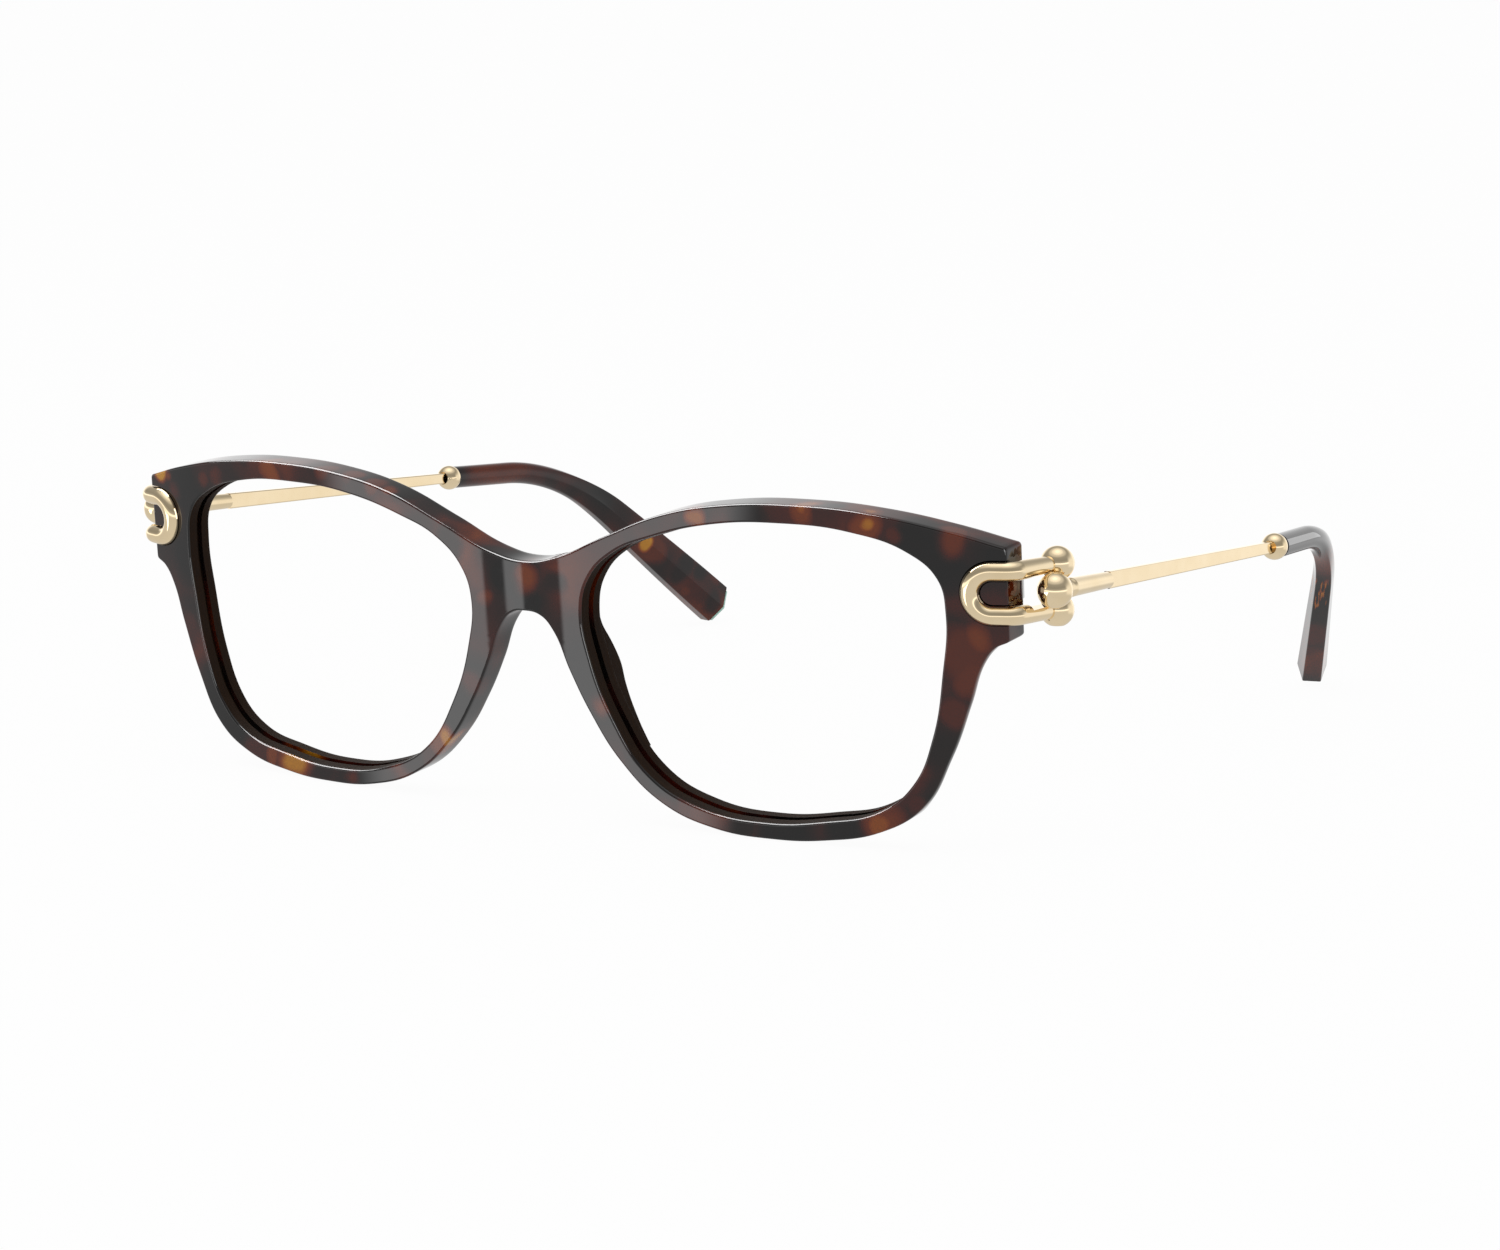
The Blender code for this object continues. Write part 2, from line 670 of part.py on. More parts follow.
def bar_sections(path, bar_start, ferrule, side):
    """Rings of the flat bar with its core wire, and of the looser slot that it lies in."""
    core_end = lengths_along(path)[-1] - CORE_END_MARGIN
    core = [place for place, length in zip(path, lengths_along(path)) if length < core_end]
    mouth = ferrule - (ferrule - bar_start).normalized() * FERRULE_RADIUS
    frames = path_frames([bar_start, mouth, *core], side)
    sizes = [(BAR_START_HEIGHT, BAR_THICKNESS), (BAR_END_HEIGHT, BAR_THICKNESS)]
    sizes += [(CORE_HEIGHT, CORE_THICKNESS)] * len(core)
    bar_rings = [flat_section(frame, *size) for frame, size in zip(frames, sizes)]
    loose = 2 * FIT_GAP
    slot_rings = [flat_section(frame, size[0] + loose, size[1] + loose) for frame, size in zip(frames, sizes)]
    _, along, _, _ = frames[-1]
    slot_rings[-1] = [point + along * FIT_GAP for point in slot_rings[-1]]
    return bar_rings, slot_rings[1:]


def add_ferrule(bench, hinge, name, centre, direction, slot):
    node = bench.node(f"ferrule_{name}", ball(centre, FERRULE_RADIUS), "gold", hinge)
    rear = pin(centre + direction * FERRULE_CUT, centre + direction * 4, 2 * FERRULE_RADIUS)
    combine(node, bench.tool(f"ferrule_rear_{name}", rear, hinge), "DIFFERENCE")
    mouth = pin(centre - direction * 4, centre - direction * 0.8, FERRULE_MOUTH_RADIUS)
    combine(node, bench.tool(f"ferrule_mouth_{name}", mouth, hinge), "DIFFERENCE")
    combine(node, slot, "DIFFERENCE")


def add_tip(bench, hinge, name, path, side, slot):
    frames = path_frames(path, side)
    lengths = lengths_along(path)
    total = lengths[-1]
    rings = []
    for frame, length in zip(frames, lengths):
        share = length / total
        blend = smooth_step((share - 0.28) / 0.3)
        growth = smooth_step((share - 0.2) / 0.8)
        half_width = TIP_START_RADIUS + (TIP_HALF_WIDTH - TIP_START_RADIUS) * growth
        edge_half = between(TIP_EDGE_HALF, share)
        rings.append(tip_section(frame, blend, half_width, edge_half, between(TIP_RIDGE_HALF, share)))
    rings[-1] = cut_end(rings[-1], frames[-1], TIP_HALF_WIDTH)
    tip = bench.node(f"temple_tip_{name}", loft(rings, TIP_RIDGES), "acetate", hinge)
    combine(tip, slot, "DIFFERENCE")

    small = [INLAY_SHARE * half for half in (TIP_HALF_WIDTH, TIP_EDGE_HALF[1], TIP_RIDGE_HALF[1])]
    base = tip_section(frames[-1], 1, *small)
    near = cut_end(base, frames[-1], TIP_HALF_WIDTH, PAD_SEAT_GAP)
    far = cut_end(base, frames[-1], TIP_HALF_WIDTH, PAD_SEAT_GAP + INLAY_THICKNESS)
    bench.node(f"tip_inlay_{name}", inlay_plate(near, far), "mint", hinge)


def inlay_plate(near, far):
    work = bmesh.new()
    low = [work.verts.new(place) for place in near]
    high = [work.verts.new(place) for place in far]
    first, second = TIP_RIDGES
    for ring in (low, high):
        work.faces.new(ring[first:second + 1])
        work.faces.new(ring[second:] + ring[:first + 1])
    count = len(low)
    for index in range(count):
        after = (index + 1) % count
        work.faces.new((low[index], low[after], high[after], high[index]))
    return tidy_mesh(finish_bmesh(work))


# The whole frame

def stand_at_origin(root, pieces):
    """Move the root so that the finished frame stands centred on the origin."""
    graph = bpy.context.evaluated_depsgraph_get()
    places = []
    for piece in pieces:
        evaluated = piece.evaluated_get(graph)
        places += [evaluated.matrix_world @ vertex.co for vertex in evaluated.data.vertices]
    lows = [min(place[axis] for place in places) for axis in range(3)]
    highs = [max(place[axis] for place in places) for axis in range(3)]
    root.location -= Vector(((lows[0] + highs[0]) / 2, (lows[1] + highs[1]) / 2, lows[2]))


def main():
    clear_scene()
    bench = Bench()
    root = new_empty("frame_origin", bench.parts)
    carrier = new_empty("front_carrier", bench.parts, tilt=PANTOSCOPIC_TILT, parent=root)
    tilt_back = Matrix.Rotation(-PANTOSCOPIC_TILT, 3, "X")
    front = add_front(bench, carrier)
    for side in SIDES:
        place = (side * HINGE_X, HINGE_BACK, HINGE_RISE)
        hinge = new_empty(f"hinge_{SIDES[side]}", bench.parts, place, parent=root)
        add_nose_pad(bench, carrier, side)
        add_shackle(bench, carrier, hinge, front, side, tilt_back)
        add_pivot(bench, hinge, side)
        add_temple(bench, hinge, side)
    stand_at_origin(root, [piece for piece in bench.parts.objects if piece.type == "MESH"])
    bpy.context.view_layer.update()


main()
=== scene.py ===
"""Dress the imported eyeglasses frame: finer shapes, finishes, studio light and the camera.

Sizes are in millimetres, in the same spaces as the solids: the front's own tilted space, and each
temple's space with its hinge at the origin. Left means the wearer's left, which is +X.
"""

import json
import math

import bmesh
import bpy
from mathutils import Matrix, Vector
from mathutils.kdtree import KDTree


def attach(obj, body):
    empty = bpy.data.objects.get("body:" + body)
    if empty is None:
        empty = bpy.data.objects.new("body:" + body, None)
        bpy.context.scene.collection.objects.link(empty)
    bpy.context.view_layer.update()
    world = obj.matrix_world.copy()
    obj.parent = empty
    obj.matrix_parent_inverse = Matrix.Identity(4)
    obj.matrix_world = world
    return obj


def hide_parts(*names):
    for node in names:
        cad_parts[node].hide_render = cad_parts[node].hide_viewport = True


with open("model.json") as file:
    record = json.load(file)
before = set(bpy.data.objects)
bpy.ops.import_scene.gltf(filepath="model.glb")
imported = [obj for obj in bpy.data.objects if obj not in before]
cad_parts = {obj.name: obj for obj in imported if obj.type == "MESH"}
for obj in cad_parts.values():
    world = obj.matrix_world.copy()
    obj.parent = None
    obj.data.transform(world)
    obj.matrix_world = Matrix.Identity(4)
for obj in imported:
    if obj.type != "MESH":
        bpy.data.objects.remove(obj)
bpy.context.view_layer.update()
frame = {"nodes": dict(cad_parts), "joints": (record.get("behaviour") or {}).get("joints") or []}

MM = 0.001
LEFT = 1
RIGHT = -1
SIDES = {LEFT: "left", RIGHT: "right"}
ROWS = {"upper": 1, "lower": -1}

# The front plate, its outline and its lens openings
FRONT_THICKNESS = 4.5
EDGE_ROUNDING = 0.3
WALL_GROWTH = 0.188
FACE_BOW_SQUARE = 0.000807
FACE_BOW_FOURTH = 0.000000157
PANTOSCOPIC_TILT = math.radians(4.0)
BRIDGE_TOP = (0, 0)
BRIDGE_UNDERSIDE = (0, -6.5)
END_PIECE_TOP = (69.2, 5.6)
END_PIECE_FOOT = (69.2, -6.35)
END_CORNER_RADIUS = 0.4
BROW_LINE = [(5.2, 0.9), (13.2, 4.35), (22.0, 7.9), (31.0, 9.75), (41.5, 10.3), (52.0, 9.6), (62.3, 7.6)]
CHEEK_LINE = [
    (67.4, -7.25), (65.7, -9.6), (63.9, -15.0), (61.2, -22.3), (57.4, -29.0), (51.8, -32.5),
    (44.0, -34.2), (36.5, -34.65), (28.0, -34.0), (20.2, -31.3), (14.0, -26.0), (9.8, -20.0),
    (6.8, -14.3), (4.4, -8.9), (2.5, -7.0),
]
LENS_OPENING = [
    (8.75, -5.9), (10.1, -1.4), (14.0, 2.45), (20.2, 5.1), (29.5, 7.45), (39.0, 8.15), (49.4, 7.4),
    (57.0, 4.95), (60.7, 1.6), (61.65, -3.0), (61.0, -11.0), (59.4, -19.7), (56.6, -26.1),
    (52.0, -30.0), (44.0, -32.0), (35.5, -32.85), (26.0, -31.75), (18.3, -28.0), (12.8, -20.4),
    (9.6, -12.0),
]
LENS_CENTRE = (35.2, -12.3)
OPENING_TAPER = 0.3
GROOVE_DEPTH = 0.9
GROOVE_WIDTH = 1.0
GROOVE_BEHIND_FACE = 2.35
GROOVE_LIP = 0.02
NEAR_OPENING_MARGIN = 1.0
LENS_WALL_FACING = 0.4
OPENING_EDGE_SHARE = 0.01
REAR_EASE = 1.8
EASE_TEMPORAL = (38, 50)
EASE_BELOW = (6, 10)
EASE_ABOVE = (32, 24)

# Between the shackle's arms, a low rib behind the end piece: x from and to, height, rise behind the plate
END_RIB_SPAN = (66.4, 69.3)
END_RIB_HEIGHT = 3.3
END_RIB_RISE = 0.8

# Nose pads, as stations down the nasal rim: height z, lens-side x, nose-side x, rise behind the rim
PAD_STATIONS = [
    (-6.8, 8.7, 6.2, 0.3), (-9.0, 8.9, 5.3, 1.0), (-11.6, 9.5, 6.0, 2.5), (-14.5, 10.4, 7.3, 3.1),
    (-17.0, 11.3, 8.6, 2.5), (-19.5, 12.5, 10.0, 1.8), (-22.5, 14.2, 11.9, 1.0), (-25.0, 15.9, 13.8, 0.3),
]
PAD_CROWN = [(0, 0.75), (0.14, 0.96), (0.34, 1.0), (0.58, 0.86), (0.82, 0.52), (1.0, 0.12)]
PAD_SINK = 0.3

# Shackle hinge
BOW_CENTRE_X = 67.6
BOW_CENTRE_Z = -0.1
BOW_RADIUS = 2.9
BOW_BAR_RADIUS = 1.29
ARM_END_RADIUS = 1.06
ARM_CORNER_X = 70.15
ARM_CORNER_RADIUS = 2.0
SHACKLE_POCKET_GAP = 0.12
END_BALL_RADIUS = 2.26
HINGE_PLACE = (71.7, 16.9, 0.17)
END_BALL_SPACING = 6.08
HINGE_GAP_HALF = 1.14
HINGE_GAP_LENGTH = 2.4 * END_BALL_RADIUS
HINGE_TOOL_WIDTH = 4 * END_BALL_RADIUS
ARM_FLAT_HALF = 2.14
ARM_FLAT_SPAN = (-6.4, -1.2)

# Screws and the knuckle
SCREW_RADIUS = 0.6
SCREW_BORE_RADIUS = 0.68
SCREW_BORE_TIP = 4.5
SCREW_HEAD_RADIUS = 0.95
SCREW_HEAD_BORE_RADIUS = 1.05
SCREW_HEAD_SEAT = -4.5
SCREW_HEAD_HEIGHT = 0.45
SCREW_TIP = 4.3
BORE_REACH = 3
KNUCKLE_RADIUS = 1.45
KNUCKLE_HALF_HEIGHT = 0.85
RUNNING_GAP = 0.045
ANCHOR_X = 67.5
ANCHOR_RADIUS = 0.5
ANCHOR_REACH = 0.45
ANCHOR_HEAD_RADIUS = 1.0
ANCHOR_HEAD_HEIGHT = 0.8
ANCHOR_HEAD_SINK = 0.15
ANCHOR_GAP = 0.1
SLOT_WIDTH = 0.28
SLOT_DEPTH = 0.22

# Temple, measured from the middle of the hinge axis with x outwards, y back and z up;
# the tip's edge and ridge have a size at its start and at its end
TEMPLE_BALL = (1.42, -3.42, 0.1)
TEMPLE_BALL_RADIUS = 2.34
FERRULE_CENTRE = (0.27, 67.5, -4.44)
BEND_CORNER = (-3.03, 94.66, -6.16)
BEND_RADIUS = 35.6
TIP_END = (-16.77, 120.98, -32.1)
TIP_ROLL = math.radians(5.7)
NECK_RADIUS = 1.06
NECK_LENGTH = 3.75
SHOULDER_LENGTH = 0.75
ROD_START_RADIUS = 1.28
ROD_END_RADIUS = 1.12
ROD_LENGTH = 15.4
ROD_END_ROUNDING = 0.12
FIT_GAP = 0.08
BAR_START_HEIGHT = 2.3
BAR_END_HEIGHT = 1.6
BAR_THICKNESS = 1.0
BAR_CORNER = 0.2
FERRULE_RADIUS = 1.92
FERRULE_CUT = 0.8
FERRULE_MOUTH_RADIUS = 0.98
FERRULE_MOUTH_FLOOR = 0.2
FERRULE_TOOL_REACH = 4
TIP_JOINT_GAP = 0.25
BAR_IN_TIP = 1
TIP_START_RADIUS = 1.74
TIP_HALF_WIDTH = 3.28
TIP_RIDGE_HALF = (0.73, 2.29)
TIP_EDGE_HALF = (0.83, 1.41)
TIP_EDGE_ROUNDING = 0.22
TIP_FLATTENS = (0.28, 0.58)
TIP_WIDENS = (0.2, 1.0)
TIP_UPPER_CUT = 1.0
TIP_LOWER_CUT = 0.3
INLAY_GAP = 0.05
INLAY_THICKNESS = 0.45
INLAY_SHARE = 0.86

# Fineness of the shapes
OUTLINE_STEPS = 10
EDGE_ROUNDING_STEPS = 3
FACE_SLICE = 1.0
WALL_SLICES = 7
BAR_SIDES = 40
BOW_STEPS = 48
CORNER_STEPS = 14
BALL_SEGMENTS = 64
BALL_RINGS = 32
PIN_SEGMENTS = 48
PAD_STEPS = 6
BEND_STEPS = 30
PADDLE_STEPS = 24
TIP_STRAIGHT_STEPS = 6
TIP_SIDE_STEPS = 7
TIP_CORNER_STEPS = 4
SHOULDER_STEPS = 4
CREASE = math.radians(35)
FACE_AREA_WEIGHT = 100
MERGE_DISTANCE = 0.0005
FLAT_TOLERANCE = 0.001
SHEET_TOLERANCE = 0.002

# Camera: where it stands, measured from the top of the bridge, and how it is turned
CAMERA_PLACE = (308.32, -448.13, 90.19)
CAMERA_RIGHT = (0.855, 0.5185, -0.0077)
CAMERA_UP = (-0.0864, 0.1572, 0.9838)
CAMERA_LENS = 98.54
CAMERA_SENSOR = 36
CAMERA_NEAREST = 0.01

# Warm and dark places in the tortoiseshell of the front, a little behind its face: x, z, radius, strength
SPOT_DEPTH = FRONT_THICKNESS / 4
WARM_SPOTS = [
    (-66.4, 6.2, 2.6, 1.0), (-64.4, 6.0, 1.8, 0.84), (-14.8, -25.5, 2.9, 0.9), (-42.4, -33.1, 4.2, 0.92),
    (-46.8, -32.7, 2.8, 0.6), (51.0, 9.0, 2.1, 0.86), (42.7, 10.0, 2.0, 0.76), (52.1, -31.2, 2.9, 0.72),
    (-57.2, 6.6, 2.2, 0.36), (-54.4, 7.3, 2.6, 0.36), (-43.6, 9.3, 3.0, 0.66), (-40.1, 10.4, 2.4, 0.47),
    (-33.3, 10.2, 2.6, 0.45), (-29.4, 9.9, 2.4, 0.47), (-25.2, 8.4, 2.6, 0.45), (-22.0, 9.1, 2.4, 0.56),
    (-8.6, 0.4, 2.8, 0.32), (-6.4, -2.8, 2.0, 0.45), (-6.3, -5.5, 2.8, 0.59), (-9.7, -17.7, 3.0, 0.33),
    (-16.0, -26.4, 3.4, 0.56), (-42.4, -32.8, 5.4, 0.62), (-50.1, -32.0, 3.4, 0.3), (-32.2, -33.3, 2.4, 0.5),
    (0.4, -2.3, 3.4, 0.58), (9.6, -0.6, 2.8, 0.34), (27.2, 8.0, 2.6, 0.76), (42.7, 9.6, 3.2, 0.56),
    (51.0, 8.7, 3.6, 0.56), (54.8, 7.3, 2.2, 0.34), (62.3, 6.6, 3.2, 0.5), (65.6, -6.5, 3.6, 0.56),
    (63.4, -8.5, 6.0, 0.4), (64.5, -11.5, 4.5, 0.44), (62.1, -15.6, 3.6, 0.35), (52.3, -31.1, 4.4, 0.53),
    (56.2, -28.6, 2.8, 0.3), (11.0, -18.8, 2.8, 0.56), (23.6, -31.4, 3.2, 0.36), (27.7, -33.2, 2.6, 0.33),
    (69.2, -0.1, 1.9, 0.45), (-63.0, -15.6, 3.4, 0.27), (-63.2, 4.4, 2.4, 0.36),
]
DARK_SPOTS = [
    (-19.5, 8.4, 2.6, 0.9), (-47.8, 9.8, 2.0, 0.8), (-5.0, 1.0, 2.4, 0.7), (35.1, 9.0, 4.2, 0.9),
    (46.8, 9.4, 2.2, 0.9), (57.6, 7.4, 3.2, 0.8), (61.8, 1.8, 3.6, 0.8), (61.0, -21.0, 4.0, 0.8),
    (38.6, -33.6, 7.0, 1.0), (32.4, -33.5, 3.6, 0.9), (46.5, -32.6, 2.8, 0.8), (-36.5, -33.6, 2.4, 0.7),
    (-61.0, -7.0, 5.0, 0.6), (-26.0, -33.4, 4.0, 0.7), (-20.8, -30.4, 3.0, 0.8), (4.8, -2.6, 3.0, 0.8),
    (66.0, 5.0, 2.4, 0.7), (-12.0, 1.6, 3.6, 0.8), (-16.5, 4.6, 3.4, 0.6),
]

# The same on the two tips: side, place from the hinge's middle, radius, strength
TIP_WARM_SPOTS = [
    (RIGHT, (-11.8, 107.5, -19.8), 2.2, 0.95), (RIGHT, (-12.4, 108.6, -20.6), 4.2, 0.42),
    (RIGHT, (-15.6, 113.2, -28.5), 2.4, 0.45), (RIGHT, (-17.1, 115.8, -31.7), 2.4, 0.45),
    (RIGHT, (-17.0, 119.4, -27.8), 2.2, 0.36), (LEFT, (-11.9, 110.0, -24.5), 5.0, 0.3),
    (LEFT, (-14.0, 113.9, -28.5), 5.0, 0.32), (LEFT, (-15.4, 116.6, -31.2), 3.6, 0.34),
]
TIP_DARK_SPOTS = [
    (RIGHT, (-14.8, 114.2, -24.5), 2.4, 0.9), (RIGHT, (-15.9, 117.0, -25.9), 2.2, 0.9),
    (RIGHT, (-14.7, 112.6, -25.6), 2.2, 0.8), (RIGHT, (-17.7, 118.4, -31.2), 2.4, 0.7),
    (LEFT, (-16.5, 121.0, -31.0), 3.5, 0.6), (LEFT, (0.1, 72.0, -4.6), 10.0, 0.9),
    (LEFT, (-1.5, 86.0, -5.4), 10.0, 0.9), (LEFT, (-8.0, 102.8, -17.2), 9.0, 0.9),
]
TIP_STREAK_SPOTS = [(LEFT, (-8.0, 102.8, -17.2), 6.5, 0.85)]


# Spaces

def joint_place(side):
    for joint in frame["joints"]:
        if joint["child"] == f"temple_{SIDES[side]}":
            return Vector(joint["pos_m"])
    return None


def sided(side, place):
    return Vector((side * place[0], place[1], place[2]))


ROOT_PLACE = joint_place(LEFT) - Vector(HINGE_PLACE) * MM
TILT = Matrix.Rotation(PANTOSCOPIC_TILT, 4, "X")
SCENE_SPACE = Matrix.Scale(MM, 4)
FRONT_SPACE = Matrix.Translation(ROOT_PLACE) @ TILT @ SCENE_SPACE
TEMPLE_SPACE = {side: Matrix.Translation(joint_place(side)) @ SCENE_SPACE for side in SIDES}


# Mesh tools

def mesh_of(piece):
    """The piece's mesh with its modifiers applied; the piece itself is removed."""
    graph = bpy.context.evaluated_depsgraph_get()
    mesh = bpy.data.meshes.new_from_object(piece.evaluated_get(graph), depsgraph=graph)
    bpy.data.objects.remove(piece)
    return mesh


def add_object(name, data):
    thing = bpy.data.objects.new(name, data)
    bpy.context.scene.collection.objects.link(thing)
    return thing


def bmesh_to_mesh(work):
    bmesh.ops.recalc_face_normals(work, faces=work.faces)
    mesh = bpy.data.meshes.new("mesh")
    work.to_mesh(mesh)
    work.free()
    return mesh


def carve(mesh, *steps):
    """Apply a row of (operation, other mesh) Booleans."""
    holder = add_object("holder", mesh)
    tools = []
    for operation, other in steps:
        tool = add_object("tool", other)
        tools.append(tool)
        modifier = holder.modifiers.new(operation, "BOOLEAN")
        modifier.operation = operation
        modifier.solver = "EXACT"
        modifier.object = tool
    carved = mesh_of(holder)
    for tool in tools:
        bpy.data.objects.remove(tool)
    return carved


def ball(centre, radius):
    work = bmesh.new()
    bmesh.ops.create_uvsphere(
        work, u_segments=BALL_SEGMENTS, v_segments=BALL_RINGS, radius=radius,
        matrix=Matrix.Translation(centre))
    return bmesh_to_mesh(work)


def pin(start, end, radius):
    start = Vector(start)
    along = Vector(end) - start
    turn = along.to_track_quat("Z", "X").to_matrix().to_4x4()
    work = bmesh.new()
    bmesh.ops.create_cone(
        work, cap_ends=True, segments=PIN_SEGMENTS, radius1=radius, radius2=radius, depth=along.length,
        matrix=Matrix.Translation(start + along / 2) @ turn)
    return bmesh_to_mesh(work)


def block(centre, size):
    work = bmesh.new()
    bmesh.ops.create_cube(work, size=1, matrix=Matrix.Translation(centre) @ Matrix.Diagonal((*size, 1)))
    return bmesh_to_mesh(work)


def loft(rings):
    """Skin closed rings of equal length and cap both ends with a fan round the ring's middle."""
    work = bmesh.new()
    verts = [[work.verts.new(place) for place in ring] for ring in rings]
    count = len(rings[0])
    for near, far in zip(verts, verts[1:]):
        for index in range(count):
            after = (index + 1) % count
            work.faces.new((near[index], near[after], far[after], far[index]))
    for ring in (verts[0], verts[-1]):
        middle = work.verts.new(sum((vert.co for vert in ring), Vector()) / count)
        for index in range(count):
            work.faces.new((ring[index], ring[(index + 1) % count], middle))
    return bmesh_to_mesh(work)


def smooth_step(value):
    value = min(max(value, 0.0), 1.0)
    return value * value * (3 - 2 * value)


def eased(value, span):
    """From 0 where the value is at the span's start to 1 at its end, with soft ends."""
    start, stop = span
    return smooth_step((value - start) / (stop - start))


def between(ends, share):
    start, end = ends
    return start + (end - start) * share


def through(values, steps):
    """Points on a smooth curve through a list of tuples, with the given steps between neighbours."""
    points = [Vector(value) for value in values]
    smooth = []
    for index in range(len(points) - 1):
        before = points[max(index - 1, 0)]
        near = points[index]
        far = points[index + 1]
        after = points[min(index + 2, len(points) - 1)]
        for step in range(steps):
            share = step / steps
            pull = (far - before) * share + (2 * before - 5 * near + 4 * far - after) * share ** 2
            pull += (3 * near - before - 3 * far + after) * share ** 3
            smooth.append(near + pull / 2)
    return smooth + [points[-1]]


def rounded_corner(start, corner, end, radius, steps):
    """The points of an arc that turns from one straight run to the next."""
    towards_start = (start - corner).normalized()
    towards_end = (end - corner).normalized()
    half_angle = towards_start.angle(towards_end) / 2
    centre = corner + (towards_start + towards_end).normalized() * radius / math.sin(half_angle)
    first = corner + towards_start * radius / math.tan(half_angle) - centre
    last = corner + towards_end * radius / math.tan(half_angle) - centre
    axis = first.cross(last).normalized()
    turn = first.angle(last)
    return [centre + Matrix.Rotation(turn * step / steps, 3, axis) @ first for step in range(steps + 1)]


# Node trees

def new_tree(name, inputs):
    """A geometry tree with its named inputs, a mesh input and a mesh output."""
    tree = bpy.data.node_groups.new(name, "GeometryNodeTree")
    tree.interface.new_socket("Geometry", in_out="INPUT", socket_type="NodeSocketGeometry")
    for label, kind in inputs:
        tree.interface.new_socket(label, in_out="INPUT", socket_type=kind)
    tree.interface.new_socket("Geometry", in_out="OUTPUT", socket_type="NodeSocketGeometry")
    return tree, tree.nodes.new("NodeGroupInput"), tree.nodes.new("NodeGroupOutput")


def feed(tree, socket, value):
    """Link another node's output to a socket, or set the socket's own value."""
    if isinstance(value, bpy.types.NodeSocket):
        tree.links.new(value, socket)
    else:
        socket.default_value = value


def feed_named(tree, node, **sockets):
    for label, value in sockets.items():
        feed(tree, node.inputs[label.replace("_", " ")], value)


def add_node(tree, kind, settings=None, **sockets):
    """Add a node, set its properties, and feed its inputs by name."""
    node = tree.nodes.new(kind)
    for key, value in (settings or {}).items():
        setattr(node, key, value)
    feed_named(tree, node, **sockets)
    return node


def add_math(tree, operation, *values, kind="ShaderNodeMath", output=0):
    """Add a node that works on numbers and give its result."""
    node = add_node(tree, kind, {"operation": operation})
    for socket, value in zip(node.inputs, values):
        feed(tree, socket, value)
    return node.outputs[output]


def add_vector_math(tree, operation, *values, output="Vector"):
    return add_math(tree, operation, *values, kind="ShaderNodeVectorMath", output=output)


def mix_values(tree, start, end, share):
    """The value that lies between two others by a share."""
    return add_math(tree, "MULTIPLY_ADD", share, add_math(tree, "SUBTRACT", end, start), start)


def end_tree(tree, inputs, outputs, geometry):
    """Close a geometry tree with real geometry and its finish."""
    real = add_node(tree, "GeometryNodeRealizeInstances", Geometry=geometry)
    finish = add_node(
        tree, "GeometryNodeSetMaterial", Geometry=real.outputs["Geometry"], Material=inputs.outputs["Finish"])
    tree.links.new(finish.outputs["Geometry"], outputs.inputs["Geometry"])
    return tree


def round_bar_tree():
    """Sweep a circle along a line of points whose radius is in the attribute bar_radius."""
    tree, inputs, outputs = new_tree(
        "round_bar", [("Sides", "NodeSocketInt"), ("Finish", "NodeSocketMaterial")])
    path = add_node(tree, "GeometryNodeMeshToCurve", Mesh=inputs.outputs["Geometry"])
    radius = add_node(tree, "GeometryNodeInputNamedAttribute", {"data_type": "FLOAT"}, Name="bar_radius")
    circle = add_node(
        tree, "GeometryNodeCurvePrimitiveCircle", Resolution=inputs.outputs["Sides"], Radius=1.0)
    sweep = add_node(
        tree, "GeometryNodeCurveToMesh", Curve=path.outputs["Curve"], Profile_Curve=circle.outputs["Curve"],
        Scale=radius.outputs["Attribute"], Fill_Caps=True)
    return end_tree(tree, inputs, outputs, sweep.outputs["Mesh"])


